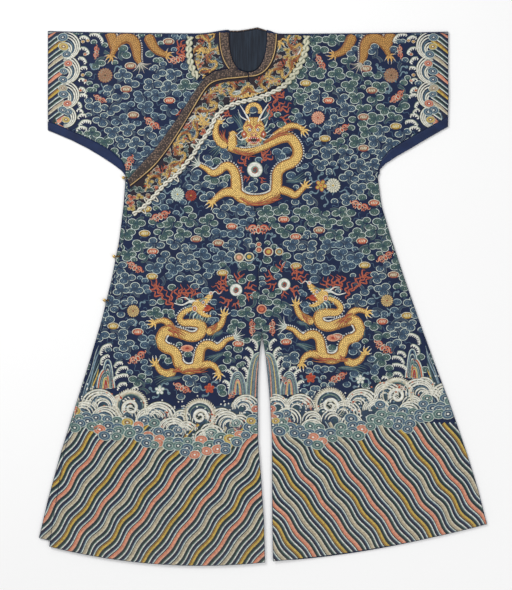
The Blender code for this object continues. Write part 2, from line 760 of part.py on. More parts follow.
def overlap_collar(left, overlap):
    """The brocade band along the overlap's cut edge, the collar silk, its piping and the border."""
    on_overlap = top_of(second_front, overlap)
    count = 22
    neckline = Point(OVERLAP_PIPING[0].x - SEAM_GAP, OVERLAP_TOP_Y)
    cut = [neckline] + [Point(s.x, s.y) for s in reversed(OVERLAP_CUT)]
    cut.append(Point(OVERLAP_SIDE[-1].x, OVERLAP_SIDE[-1].y))
    free_edge = spaced(offset(cut, 0.0008), count)
    joint = spaced(smooth_path(OVERLAP_PIPING, 0.004), count)
    band = strip("overlap_band", free_edge, joint, 2, on_overlap, BROCADE, "brocade")
    border = offset(smooth_path(BORDER_FRONT, 0.004), -BORDER_HALF_WIDTH - SEAM_GAP)
    outer = spaced(beside_seam(border, RIGHT), count)
    silk = strip("collar_overlap", offset(joint, SEAM_GAP), outer, 4, on_overlap, COLLAR_SILK, "collar silk")
    cord("overlap_piping", smooth_path(OVERLAP_PIPING, PIPING_STEP), top_of(second_front, overlap, band, silk),
         PIPING_RADIUS, PIPING_RADIUS, "gold cord")
    cord("border_front", smooth_path(BORDER_FRONT, BORDER_STEP), top_of(left_front, left, overlap),
         BORDER_HALF_WIDTH, BORDER_HALF_HEIGHT, "white cord", sides=8, pitch=BORDER_PITCH)


def back_neck():
    """The lining of the back, where it shows inside the neck, and the binding of its free edge."""
    def on_back(x, y):
        return LINED_SILK

    half = NECK_HALF_WIDTH - LINING_CLEAR
    stations = 14
    top, bottom = [], []
    for k in range(stations + 1):
        side = LEFT if k > stations / 2 else RIGHT
        angle = math.pi / 2 * (1 - abs(1 - 2 * k / stations))
        low = neck_curve(angle, side, -LINING_CLEAR, -LINING_CLEAR)
        edge_y = read_table(BACK_NECK, low.x, "y", by="x")
        bottom.append(Point(low.x, min(low.y, edge_y - 2 * BINDING_WIDTH)))
        top.append(Point(low.x, edge_y - BINDING_WIDTH - 3 * SEAM_GAP))
    strip("neck_lining", top, bottom, 4, on_back, COLLAR_SILK, "lining")
    edge = [NECK_X + half * (k / 4 - 1) for k in range(9)]
    tops = [read_table(BACK_NECK, x, "y", by="x") for x in edge]
    strip(
        "back_neck_binding",
        [Point(x, y - SEAM_GAP) for x, y in zip(edge, tops)],
        [Point(x, y - BINDING_WIDTH) for x, y in zip(edge, tops)],
        1, on_back, BROCADE, "brocade",
    )


def round_tube(name, path, radius, colour, sides=6):
    """A round cord along points in space."""
    mesh = bmesh.new()
    rings = []
    for k, point in enumerate(path):
        run = (path[min(len(path) - 1, k + 1)] - path[max(0, k - 1)]).normalized()
        turn = run.to_track_quat("Z", "Y")
        ring = []
        for side in range(sides):
            angle = 2 * math.pi * side / sides
            spoke = turn @ Vector((radius * math.cos(angle), radius * math.sin(angle), 0))
            ring.append(mesh.verts.new(point + spoke))
        rings.append(ring)
    return tube_between(name, mesh, rings, colour)


def ball_button(number, y):
    """A gilt ball beside the robe's right edge, its shank on the underlap, and the overlap's loop round it."""
    edge = read_table(RIGHT_SIDE + RIGHT_SLEEVE, y, "x")
    ground = first_front(edge, y) + LINED_SILK + TRIM_GAP
    axis_z = ground + SHANK_RADIUS
    ball_x = edge - BALL_RADIUS - BALL_GAP
    shank_end = read_table(OVERLAP_SIDE, y, "x") - 2 * SEAM_GAP
    sides, rows = 12, 9
    least = math.asin(SHANK_RADIUS / BALL_RADIUS)
    shape = [(math.pi - (math.pi - least) * k / rows) for k in range(1, rows + 1)]
    profile = [(BALL_RADIUS * math.cos(a), BALL_RADIUS * math.sin(a)) for a in shape]
    profile = [(-BALL_RADIUS, SHANK_RADIUS / 2)] + profile + [(shank_end - ball_x, SHANK_RADIUS)]
    mesh = bmesh.new()
    rings = []
    for along, radius in profile:
        spokes = [2 * math.pi * k / sides for k in range(sides)]
        rings.append(
            [mesh.verts.new((ball_x + along, y + radius * math.cos(a), axis_z + radius * math.sin(a)))
             for a in spokes]
        )
    tube_between(f"button_{number}", mesh, rings, "gilt brass", roughness=0.35, metallic=1.0)

    neck = edge + LOOP_REACH
    spread = SHANK_RADIUS + LOOP_RADIUS + TRIM_GAP
    low = ground + LOOP_RADIUS
    arch = [math.pi * k / 6 for k in range(7)]
    path = [Vector((neck, y + spread * math.cos(a), low + spread * math.sin(a))) for a in arch]
    ends = [read_table(OVERLAP_SIDE, y + shift, "x") - 2 * SEAM_GAP for shift in (spread, -spread)]
    path = [Vector((ends[0], y + spread, low))] + path + [Vector((ends[1], y - spread, low))]
    round_tube(f"button_loop_{number}", path, LOOP_RADIUS, "loop cord")


def main():
    """Builds every piece of the robe."""
    clear_scene()
    left = folded_length("left_length", LEFT, left_front)
    right = folded_length("right_length", RIGHT, first_front, UNDERLAP_INSET)
    overlap = overlap_front()
    gusset("left_gusset", LEFT, GUSSET_LEFT)
    gusset("right_gusset", RIGHT, GUSSET_RIGHT)
    back_neck()
    left_collar(left)
    right_collar(right)
    overlap_collar(left, overlap)
    for number, y in enumerate(BUTTON_Y, start=1):
        ball_button(number, y)


main()
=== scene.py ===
"""Looks of a Chinese dragon robe, fastened and laid flat on its back.

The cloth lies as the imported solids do: two lined lengths folded over the shoulders, and an
overlap that crosses to the wearer's right. Every shell follows one height function with soft
folds and creases. The needlework is laid on the cloth as low relief, in thread colours that
its points carry. Drawings are in millimetres, with +X the wearer's left and +Y the collar.
"""

import logging
import math
from collections.abc import Callable, Sequence
from dataclasses import dataclass, field
from enum import Enum

import bpy
import numpy as np
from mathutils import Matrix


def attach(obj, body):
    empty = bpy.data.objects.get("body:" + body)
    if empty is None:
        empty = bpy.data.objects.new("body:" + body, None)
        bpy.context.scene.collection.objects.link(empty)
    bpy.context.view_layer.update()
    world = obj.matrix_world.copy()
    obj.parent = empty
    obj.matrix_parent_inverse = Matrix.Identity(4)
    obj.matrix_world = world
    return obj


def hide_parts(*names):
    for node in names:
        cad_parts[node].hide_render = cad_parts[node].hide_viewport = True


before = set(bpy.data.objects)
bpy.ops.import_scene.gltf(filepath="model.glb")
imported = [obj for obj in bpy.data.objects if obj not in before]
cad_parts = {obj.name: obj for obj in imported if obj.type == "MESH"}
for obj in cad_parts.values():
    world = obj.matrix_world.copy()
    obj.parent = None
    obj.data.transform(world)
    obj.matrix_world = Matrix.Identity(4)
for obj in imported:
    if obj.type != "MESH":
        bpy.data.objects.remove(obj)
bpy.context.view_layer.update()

LOG = logging.getLogger("robe")
Array = np.ndarray
MM = 0.001
LEFT, RIGHT = 1, -1  # the wearer's sides, as the sign of X
BODY = "root"

# ---------------------------------------------------------------- sizes of the cloth, in metres

WALL = 0.0016
BAND_SILK, COLLAR_SILK = 0.0013, 0.0010
LAYER_GAP = 0.0005
TRIM_GAP = 0.0003
SEAM_GAP = 0.0003
NECK_X, NECK_Y = -0.039, 0.684
NECK_HALF_WIDTH, NECK_DEPTH, NECK_SQUARENESS = 0.0494, 0.103, 2.4
BAND_SIDE, BAND_FRONT = 0.0240, 0.0105
SHOULDER_Y, CUFF_RISE, CUFF_X = 0.680, 0.006, 0.520
SHOULDER_RISE = 0.010
SHOULDER_REACH = {LEFT: 0.018, RIGHT: 0.045}
SHOULDER_CLEAR = 0.0012
VENT_TOP = (-0.0026, -0.1005)
TOP_SLOPE = (0.560, 0.670)
SEAM_SLOPE = 0.140
SLANT = {LEFT: 0.096, RIGHT: 0.063}
SAG = {LEFT: 0.013, RIGHT: 0.019}
OVERLAP_SLANT, OVERLAP_SAG = 0.041, 0.025
OVERLAP_TOP_Y = 0.5803
UNDERLAP_INSET = 0.007
BACK_INSET = 0.003

# Tables of points, in millimetres. Columns: y, x on the right half, x on the left half.
VENT = MM * np.array([
    (-693, 5.5, 26.2), (-590, 3, 24), (-468, -5, 23.4), (-374, -12.5, 23), (-281, -13.2, 18.5),
    (-218, -12.8, 13), (-160, -10.4, 7), (-100.5, -2.6, -2.6),
])
# Columns: y, x of an outer edge, from the hem up.
LEFT_OUTLINE = MM * np.array([
    (-593, 582), (-499, 558), (-406, 529), (-281, 486), (-170, 444), (-62, 405), (50, 366), (150, 333),
    (235, 308), (302, 299), (330, 300), (356, 310), (380, 330), (402, 365), (425, 406), (450, 452),
    (467, 481), (520, 482.5), (570, 481.5),
])
RIGHT_OUTLINE = MM * np.array([
    (-629, -582), (-530, -559), (-406, -525), (-281, -486), (-170, -451), (-62, -419), (50, -392),
    (150, -373), (235, -362.5), (302, -357.5), (333, -358), (352, -366), (377, -393), (400, -433),
    (420, -475), (445, -533), (454, -559), (520, -559), (570, -559),
])
OVERLAP_OUTLINE = MM * np.array([
    (-651, -555), (-590, -547), (-500, -532), (-406, -516.5), (-281, -480), (-170, -445), (-62, -412),
    (50, -384.5), (120, -367), (187, -354), (250, -352), (302, -352),
])
OVERLAP_CUT = MM * np.array([
    (320, -337), (348, -311.5), (378, -284), (415, -256), (459, -225), (503, -196), (540, -172),
    (567, -151), (583, -128), (589, -99), (590, -70),
])
# Columns: x, y of a line from the neck or shoulder outwards.
PIPING_LINE = MM * np.array([
    (-38.5, 570), (-69, 566.8), (-99, 563.7), (-130, 555.6), (-151, 536.9), (-179, 491.9), (-204, 450.1),
    (-228, 412.5), (-251, 378.3), (-279, 343), (-309, 315), (-345, 286.5),
])
BORDER_LINE = MM * np.array([
    (109.5, 676), (106.5, 637), (90, 597), (67, 564), (44, 540), (7, 521.5), (-29, 510), (-72, 499.5),
    (-98, 487), (-121, 466.4), (-138, 431.6), (-163, 396.8), (-180, 368.9), (-204, 338.8), (-224, 315.6),
    (-251, 293.5), (-275, 267.8), (-304, 236.6), (-337, 211.5),
])
BORDER_RIGHT_LINE = MM * np.array([
    (-186, 673), (-189, 637), (-183, 600), (-173, 578), (-165, 570),
])
GUSSET_LEFT = MM * np.array([
    (300, 314), (303.5, 328), (319, 344), (348, 363), (385, 384), (420, 405), (458, 427), (480.5, 439.5),
])
GUSSET_RIGHT = MM * np.array([
    (-359, 315.5), (-368, 326), (-389, 342), (-421, 363), (-458, 385), (-500, 406), (-545, 425),
    (-559, 430.5),
])
# Columns: x0, y0, x1, y1, half width, height of a ridge along a line.
FOLDS = MM * np.array([
    (235, 180, 330, -250, 70, 2.6), (130, -300, 160, -540, 65, 2.4), (380, -340, 425, -500, 65, 2.2),
    (-270, 110, -350, -240, 70, 2.6), (-130, -310, -145, -540, 65, 2.4), (-330, -360, -375, -520, 65, 2),
    (250, 500, 400, 550, 65, 2.2), (-330, 520, -470, 555, 65, 2.2),
])
CREASES = MM * np.array([
    (120, 250, 280, 290, 16, 0.6), (310, 330, 400, 470, 15, 0.7), (90, 20, 250, 60, 18, 0.5),
    (60, -180, 180, -150, 20, -0.5), (300, -80, 380, -300, 18, 0.7), (200, -420, 235, -640, 17, 0.8),
    (320, -440, 350, -610, 15, 0.7), (450, -430, 500, -560, 14, 0.8), (-330, 330, -420, 480, 15, 0.7),
    (-100, 180, -260, 215, 18, 0.5), (-80, -60, -240, -20, 19, -0.5), (-60, -380, -70, -620, 15, 0.7),
    (-220, -420, -245, -640, 16, 0.8), (-290, -120, -400, -330, 18, 0.7), (-440, -430, -480, -590, 14, 0.7),
    (160, 400, 190, 560, 20, 0.5), (-250, 430, -290, 600, 18, 0.5), (50, 100, 58, -90, 18, 0.4),
])


def ease(t: Array) -> Array:
    """0 before 0, 1 after 1, and the cubic step 3t^2 - 2t^3 between."""
    t = np.clip(t, 0.0, 1.0)
    return t * t * (3 - 2 * t)


def at(table: Array, y: Array) -> Array:
    """The second column of a table where its first column, which rises, has the value y."""
    return np.interp(y, table[:, 0], table[:, 1])


def seam_x(y: Array) -> Array:
    """The centre seam, a straight line from the vents' top to the neck, and upright beyond."""
    return np.interp(y, (VENT_TOP[1], NECK_Y - NECK_DEPTH), (VENT_TOP[0], NECK_X))


def centre_edge(y: Array, side: int) -> Array:
    """The centre edge of a half: half a seam's gap from the seam, and the vent's edge below it."""
    vent = np.interp(y, VENT[:, 0], VENT[:, 2] if side == LEFT else VENT[:, 1])
    return np.where(np.asarray(y) >= VENT_TOP[1], seam_x(y), vent) + side * SEAM_GAP / 2


def neck_edge(y: Array, side: int) -> Array:
    """The centre edge below the neck and, beside it, the squared ellipse |x/a|^n + |y/b|^n = 1."""
    below = np.clip((NECK_Y - np.asarray(y)) / NECK_DEPTH, 0.0, 1.0)
    reach = NECK_HALF_WIDTH * (1 - below**NECK_SQUARENESS) ** (1 / NECK_SQUARENESS)
    return np.where(below >= 1, centre_edge(y, side), NECK_X + side * np.maximum(reach, SEAM_GAP / 2))


def neck_curve(angle: Array, side: int, more_side: float = 0.0, more_front: float = 0.0) -> Array:
    """The neckline as (n, 2) points: cos and sin of the angle, both to the power 2/n."""
    power = 2 / NECK_SQUARENESS
    return np.stack([
        NECK_X + side * (NECK_HALF_WIDTH + more_side) * np.clip(np.cos(angle), 0, 1) ** power,
        NECK_Y - (NECK_DEPTH + more_front) * np.clip(np.sin(angle), 0, 1) ** power,
    ], axis=-1)


def neck_angle(y: float, more_front: float) -> float:
    """The angle at which the neckline, widened at the front, passes a height."""
    return math.asin(((NECK_Y - y) / (NECK_DEPTH + more_front)) ** (NECK_SQUARENESS / 2))


def shoulder_y(x: Array) -> Array:
    """The shoulder line: a gentle parabola towards the cuffs and a bell-shaped rise beside the neck."""
    reach = np.where(x > NECK_X, SHOULDER_REACH[LEFT], SHOULDER_REACH[RIGHT])
    beside = np.maximum(0.0, np.abs(x - NECK_X) - NECK_HALF_WIDTH)
    return SHOULDER_Y + CUFF_RISE * (x / CUFF_X) ** 2 + SHOULDER_RISE * np.exp(-((beside / reach) ** 2))


def ridges(x: Array, y: Array, rows: Array) -> Array:
    """The sum of bell-shaped ridges, each height * exp(-(distance to its line / half width)^2)."""
    total = np.zeros(np.broadcast(x, y).shape)
    for x0, y0, x1, y1, half_width, height in rows:
        run = np.array([x1 - x0, y1 - y0])
        share = np.clip(((x - x0) * run[0] + (y - y0) * run[1]) / (run @ run), 0.0, 1.0)
        away = np.hypot(x - x0 - share * run[0], y - y0 - share * run[1])
        total = total + height * np.exp(-((away / half_width) ** 2))
    return total


def below_shoulder(y: Array) -> Array:
    """1 on the body of a front, easing to 0 at the shoulder, where the fold is round and tight."""
    return 1 - ease((y - TOP_SLOPE[0]) / (TOP_SLOPE[1] - TOP_SLOPE[0]))


def first_front(x: Array, y: Array) -> Array:
    """The underside of a front that lies straight on the back, with its folds and creases."""
    return WALL + LAYER_GAP + (ridges(x, y, FOLDS) + ridges(x, y, CREASES)) * below_shoulder(y)


def second_front(x: Array, y: Array) -> Array:
    """The underside of the overlap, one layer above the underlap."""
    return first_front(x, y) + WALL + LAYER_GAP


def left_front(x: Array, y: Array) -> Array:
    """The underside of the left front, which comes down off the underlap beside the centre seam."""
    on_underlap = 1 - ease((x - centre_edge(y, LEFT)) / SEAM_SLOPE)
    return first_front(x, y) + (WALL + LAYER_GAP) * on_underlap * below_shoulder(y)


def body_front(x: Array, y: Array) -> Array:
    """The underside of the uppermost front: the left one or the overlap, as the seam divides them."""
    return np.where(x > seam_x(y), left_front(x, y), second_front(x, y))


# ---------------------------------------------------------------- panels

Ground = Callable[[Array, Array], Array]


@dataclass(frozen=True)
class Panel:
    """One face of the robe that needlework lies on, with the outline that cuts it off."""

    name: str
    side: int
    underside: Ground
    outline: Array
    slant: float
    sag: float
    cut: Array | None = None
    margin: float = 0.0012
    sewn: list[bpy.types.Object] = field(default_factory=list)

    def hem(self, x: Array) -> Array:
        """The hem's height: a straight slanted line less the parabola 4 * sag * s * (1 - s)."""
        share = np.linspace(0.0, 1.0, 60)
        inner_y = self.outline[0, 0] - self.slant
        inner_x = float(centre_edge(np.array(inner_y), self.side))
        xs = inner_x + (self.outline[0, 1] - inner_x) * share
        ys = inner_y + self.slant * share - 4 * self.sag * share * (1 - share)
        order = np.argsort(xs)
        return np.interp(x, xs[order], ys[order])

    def clip(self, x: Array, y: Array) -> tuple[Array, Array]:
        """Moves points outside the panel onto its edge, which flattens what lies beyond it."""
        y = np.maximum(y, self.hem(x) + self.margin)
        if self.cut is None:
            y = np.minimum(y, shoulder_y(x) - self.margin)
            inner = neck_edge(y, self.side)
        else:
            y = np.minimum(y, np.interp(x, self.cut[:, 1], self.cut[:, 0], right=OVERLAP_TOP_Y) - self.margin)
            inner = centre_edge(y, self.side)
        edge = self.outline if self.cut is None else OVERLAP_EDGE
        outer = at(edge, y) - self.side * self.margin
        inner = np.where(y < VENT_TOP[1], inner + self.side * self.margin, inner)
        low, high = (inner, outer) if self.side == LEFT else (outer, inner)
        return np.clip(x, low, high), y

    def top(self, x: Array, y: Array) -> Array:
        """The height of the panel's upper face."""
        return self.underside(x, y) + WALL

    def covered(self, x: Array, y: Array) -> Array:
        """True under the collar, where the cloth carries no needlework."""
        return y > np.interp(x, BORDER_LINE[::-1, 0], BORDER_LINE[::-1, 1], right=1.0)


@dataclass(frozen=True)
class UnderFace(Panel):
    """The right front, of which the sleeve, the shoulder and a strip beside the overlap show."""

    def covered(self, x: Array, y: Array) -> Array:
        """True under the overlap and under the collar's right part."""
        under_overlap = (x > at(OVERLAP_EDGE, y) + 0.006) & (y < OVERLAP_EDGE[-1, 0])
        under_collar = (x > at(BORDER_RIGHT_LINE[::-1, ::-1], y)) & (y > BORDER_RIGHT_LINE[-1, 1])
        return under_overlap | under_collar


@dataclass(frozen=True)
class BodyFace(Panel):
    """The left front and the overlap together, for what is sewn across the centre seam."""

    def clip(self, x: Array, y: Array) -> tuple[Array, Array]:
        """Clips each point by the half that it lies on."""
        left = LEFT_PANEL.clip(x, y)
        right = OVERLAP_PANEL.clip(x, y)
        on_left = x > seam_x(y)
        return np.where(on_left, left[0], right[0]), np.where(on_left, left[1], right[1])


OVERLAP_EDGE = np.concatenate([OVERLAP_OUTLINE, OVERLAP_CUT])
LEFT_PANEL = Panel("left", LEFT, left_front, LEFT_OUTLINE, SLANT[LEFT], SAG[LEFT])
RIGHT_PANEL = UnderFace("right", RIGHT, first_front, RIGHT_OUTLINE, SLANT[RIGHT], SAG[RIGHT])
OVERLAP_PANEL = Panel("overlap", RIGHT, second_front, OVERLAP_OUTLINE, OVERLAP_SLANT, OVERLAP_SAG,
                      OVERLAP_CUT)
BODY_PANEL = BodyFace("body", LEFT, body_front, LEFT_OUTLINE, SLANT[LEFT], SAG[LEFT])


# ---------------------------------------------------------------- colours and finishes


class Thread(Enum):
    """Thread and cloth colours, as eight-bit sRGB."""

    NAVY = (17, 35, 70)
    PLAIN = (30, 48, 88)
    DEEP = (21, 29, 56)
    INK = (42, 64, 88)
    MOSS = (56, 84, 88)
    BLUE = (72, 102, 126)
    SKY = (132, 158, 172)
    GREEN = (94, 126, 122)
    SAGE = (146, 166, 150)
    PALE = (216, 226, 212)
    CREAM = (222, 216, 192)
    STONE = (176, 164, 140)
    TEAL = (44, 74, 84)
    PINE = (24, 46, 46)
    MIST = (172, 194, 194)
    FOAM = (202, 214, 202)
    BRICK = (150, 70, 56)
    GOLD = (238, 198, 116)
    DEEP_GOLD = (178, 124, 60)
    YELLOW = (204, 174, 82)
    OCHRE = (150, 112, 44)
    ORANGE = (196, 92, 48)
    RED = (168, 60, 44)
    SALMON = (208, 128, 98)
    PINK = (226, 168, 138)
    PEARL = (236, 236, 226)
    BROWN = (46, 34, 30)
    UMBER = (92, 70, 52)
    TAN = (158, 128, 96)
    LINING = (15, 23, 36)
    FADED = (37, 50, 65)
    MOTIF = (128, 104, 88)
    FLAME = (208, 112, 78)
    HAZE = (48, 76, 102)
    FERN = (60, 90, 88)
    CORAL = (224, 154, 126)
    OAT = (196, 182, 152)
    STRAW = (208, 178, 120)
    LEAF = (176, 180, 152)

    @property
    def rgb(self) -> Array:
        """The colour in linear light, by the sRGB curve."""
        c = np.array(self.value) / 255.0
        return np.where(c <= 0.04045, c / 12.92, ((c + 0.055) / 1.055) ** 2.4)


Feed = bpy.types.NodeSocket | float | tuple | str | None


class Nodes:
    """A short way to build a material's node tree round one Principled shader."""

    def __init__(self, name: str) -> None:
        """Starts the material."""
        self.material = bpy.data.materials.new(name)
        self.material.use_nodes = True
        self.tree = self.material.node_tree

    def feed(self, socket: bpy.types.NodeSocket, value: Feed) -> None:
        """Joins an output to an input, or sets the input's constant."""
        if isinstance(value, bpy.types.NodeSocket):
            self.tree.links.new(value, socket)
        elif value is not None:
            socket.default_value = value

    def add(self, kind: str, *inputs: Feed, out: str | int = 0, **values: Feed) -> bpy.types.NodeSocket:
        """Adds a node, feeds its inputs by number or name, sets its properties, and returns an output."""
        node = self.tree.nodes.new("ShaderNode" + kind)
        for socket, value in zip(node.inputs, inputs):
            self.feed(socket, value)
        for key, value in values.items():
            if key in node.bl_rna.properties:
                setattr(node, key, value)
            else:
                self.feed(node.inputs[key.replace("_", " ")], value)
        return node.outputs[out]

    def maths(self, operation: str, *inputs: Feed) -> bpy.types.NodeSocket:
        """Adds one step of arithmetic."""
        return self.add("Math", *inputs, operation=operation)

    def noise(self, scale: float, detail: float = 2.0, **values: Feed) -> bpy.types.NodeSocket:
        """Adds noise that lies still in the object's own space."""
        values.setdefault("Vector", self.add("TexCoord", out="Object"))
        return self.add("TexNoise", Scale=scale, Detail=detail, **values)

    def ramp(self, value: Feed, *stops: tuple[float, Thread], kind: str = "LINEAR") -> bpy.types.NodeSocket:
        """Turns a value into thread colours, each at its own position."""
        output = self.add("ValToRGB", value)
        ramp = output.node.color_ramp
        ramp.interpolation = kind
        for _ in stops[2:]:
            ramp.elements.new(0.5)
        for element, (position, thread) in zip(ramp.elements, stops):
            element.position, element.color = position, (*thread.rgb, 1)
        return output

    def bump(self, height: Feed, strength: float, distance: float,
             before: Feed = None) -> bpy.types.NodeSocket:
        """Adds a bump from a height, over an earlier bump if there is one."""
        return self.add("Bump", Height=height, Strength=strength, Distance=distance, Normal=before)

    def finish(self, **values: Feed) -> bpy.types.Material:
        """Feeds the shader's inputs by name, and returns the material."""
        for key, value in values.items():
            self.feed(self.tree.nodes["Principled BSDF"].inputs[key.replace("_", " ")], value)
        return self.material


@dataclass(frozen=True)
class WovenSilk:
    """Plain woven silk: two crossed sets of threads, slow changes of shade and a soft sheen."""

    name: str
    colour: Thread
    second: Thread
    roughness: float = 0.62
    threads_per_m: float = 700.0

    def make(self) -> bpy.types.Material:
        """Builds the node tree: noise mixes two shades, crossed waves give the weave's bump."""
        n = Nodes(self.name)
        shade = n.maths("MULTIPLY_ADD", n.noise(900.0), 0.45, n.noise(22.0, 5.0, Roughness=0.6))
        weave = None
        for axis in "XY":
            wave = n.add("TexWave", n.add("TexCoord", out="Object"), out="Fac", bands_direction=axis,
                         Scale=self.threads_per_m / 6.28, Distortion=1.5, Detail=2.0)
            weave = n.bump(wave, 0.25, 0.0002, weave)
        return n.finish(Base_Color=n.ramp(shade, (0.45, self.colour), (0.95, self.second)), Normal=weave,
                        Roughness=self.roughness, Sheen_Weight=0.06, Sheen_Roughness=0.4,
                        Specular_IOR_Level=0.22)


@dataclass(frozen=True)
class Brocade:
    """Figured silk: small flowers in a dull gold thread on brown, cell by cell."""

    name: str
    ground: Thread
    figure: Thread
    cells_per_m: float = 215.0

    def make(self) -> bpy.types.Material:
        """Builds the node tree: the distance from a cell's middle gives a heart, petals and a ground."""
        n = Nodes(self.name)
        cell = n.add("TexVoronoi", n.add("TexCoord", out="Object"), Scale=self.cells_per_m, Randomness=0.55)
        figure, ground = self.figure, self.ground
        colour = n.ramp(n.maths("MULTIPLY_ADD", n.noise(520.0), 0.34, cell), (0.20, figure), (0.30, ground),
                        (0.40, figure), (0.50, figure), (0.60, ground), kind="EASE")
        return n.finish(Base_Color=colour, Normal=n.bump(colour, 0.5, 0.0003), Roughness=0.6)


@dataclass(frozen=True)
class Lining:
    """Thin plain silk that has faded in streaks along its length."""

    name: str
    colour: Thread
    faded: Thread

    def make(self) -> bpy.types.Material:
        """Builds the node tree: noise that is stretched 20 times along y mixes two shades."""
        n = Nodes(self.name)
        stretch = n.add("Mapping", n.add("TexCoord", out="Object"), Scale=(1.0, 0.05, 1.0))
        streaks = n.noise(260.0, 4.0, Roughness=0.65, Vector=stretch)
        return n.finish(Base_Color=n.ramp(streaks, (0.42, self.colour), (0.72, self.faded)), Roughness=0.5,
                        Normal=n.bump(streaks, 0.3, 0.0003), Specular_IOR_Level=0.3)


@dataclass(frozen=True)
class Stitches:
    """Satin stitches: the points' own colour, lines across the grain that paint the shade between stitches
    and the sheen on them, and slight unevenness.
    """

    name: str
    roughness: float = 0.5
    stitch_mm: float = 0.9
    depth: float = 0.5
    shade: float = 0.22
    lattice: bool = False
    brightness: float = 0.9

    def make(self) -> bpy.types.Material:
        """Builds the node tree: the dye attribute, darkened and lightened by lines that follow the grain, or
        by a lattice. The lines are painted shade in the grooves between stitches and painted sheen on their
        crowns; the lattice's darker lines are partly the scales' outlines and partly painted shade between
        the scales.

        A line is sin(u), and a lattice of scales is 2 |sin((u + v) / 2) * sin((u - v) / 2)| - 1, where u
        and v are the two thread axes in turns of a stitch and u also sways with noise.
        """
        n = Nodes(self.name)
        per_mm = 2 * math.pi / self.stitch_mm
        noise = n.noise(190.0, 4.0)
        grain = n.add("Attribute", attribute_name="thread", out="Vector")
        u, v = n.add("SeparateXYZ", grain, out="X"), n.add("SeparateXYZ", grain, out="Y")
        turn = n.maths("MULTIPLY", n.maths("MULTIPLY_ADD", noise, 1.2, u), per_mm)
        if self.lattice:
            other = n.maths("MULTIPLY", v, per_mm)
            mixed = (n.maths(way, turn, other) for way in ("ADD", "SUBTRACT"))
            sines = [n.maths("SINE", n.maths("MULTIPLY", angle, 0.5)) for angle in mixed]
            line = n.maths("MULTIPLY_ADD", n.maths("ABSOLUTE", n.maths("MULTIPLY", *sines)), 2.0, -1.0)
        else:
            line = n.maths("SINE", turn)
        # Painted shade and sheen of the stitches: each line darkens the dye to 1 - shade and lightens it to 1
        # + shade / 2.
        dark = n.add("MapRange", line, From_Min=-1.0, To_Min=1.0 - self.shade, To_Max=1.0 + self.shade * 0.5)
        fleck = n.add("MapRange", noise, From_Min=0.3, From_Max=0.7, To_Min=self.brightness * 0.7,
                      To_Max=self.brightness * 1.24)
        tint = n.add("VectorMath", n.add("Attribute", attribute_name="dye"), operation="SCALE",
                     Scale=n.maths("MULTIPLY", dark, fleck))
        return n.finish(Base_Color=tint, Normal=n.bump(line, self.depth, 0.00012), Roughness=self.roughness,
                        Sheen_Weight=0.05, Specular_IOR_Level=0.35)


# ---------------------------------------------------------------- meshes from arrays


def make_object(name: str, points: Array, faces: Array, material: bpy.types.Material,
                dyes: Array | None = None, grain: Array | None = None) -> bpy.types.Object:
    """Puts arrays into a mesh object at the origin.

    Args:
        name: the piece's name.
        points: (n, 3) places in metres.
        faces: (m, 3) or (m, 4) point numbers.
        material: its finish.
        dyes: (n, 3) linear colours, kept as the point attribute dye.
        grain: (n, 2) millimetres along and across the thread work, kept as the attribute thread.

    Returns:
        The object, smooth shaded and linked to the scene.
    """
    name = name.replace(" ", "_")
    mesh = bpy.data.meshes.new(name)
    corners = faces.shape[1]
    mesh.vertices.add(len(points))
    mesh.vertices.foreach_set("co", points.astype(np.float32).ravel())
    mesh.loops.add(faces.size)
    mesh.loops.foreach_set("vertex_index", faces.astype(np.int32).ravel())
    mesh.polygons.add(len(faces))
    mesh.polygons.foreach_set("loop_start", np.arange(0, faces.size, corners, dtype=np.int32))
    mesh.update(calc_edges=True)
    mesh.validate()
    if dyes is not None:
        layer = mesh.attributes.new("dye", "FLOAT_COLOR", "POINT")
        layer.data.foreach_set("color", np.c_[dyes, np.ones(len(dyes))].astype(np.float32).ravel())
    if grain is not None:
        layer = mesh.attributes.new("thread", "FLOAT_VECTOR", "POINT")
        layer.data.foreach_set("vector", np.c_[grain, np.zeros(len(grain))].astype(np.float32).ravel())
    mesh.materials.append(material)
    mesh.shade_smooth()
    piece = bpy.data.objects.new(name, mesh)
    bpy.context.scene.collection.objects.link(piece)
    return piece


def grid_faces(rows: int, columns: int) -> Array:
    """The quads of a grid of points, as (m, 4) numbers."""
    index = np.arange(rows * columns).reshape(rows, columns)
    return np.stack([index[:-1, :-1], index[:-1, 1:], index[1:, 1:], index[1:, :-1]], axis=-1).reshape(-1, 4)


def outward(points: Array, faces: Array) -> tuple[Array, Array]:
    """Points and quads, turned over if the volume that they enclose is negative."""
    a, b, c, d = points[faces].swapaxes(0, 1)
    volume = (a * (np.cross(b, c) + np.cross(c, d))).sum()
    return points, faces if volume > 0 else faces[:, ::-1]


def ruled(start: Array, end: Array, shares: Array) -> Array:
    """Points on straight lines from start (n,) or (n, 2) to end, one for each share: (n, shares) or more."""
    shares = shares.reshape(-1, *[1] * (start.ndim - 1))
    return start[:, None] + (end - start)[:, None] * shares


def slab(plan: Array, z: Array | float, thickness: Array | float) -> tuple[Array, Array]:
    """A sheet over a grid in plan (rows, columns, 2), from the height z up."""
    z = np.broadcast_to(z, plan.shape[:2])
    return wall_mesh(np.dstack([plan, z]), np.dstack([plan, z + thickness]))


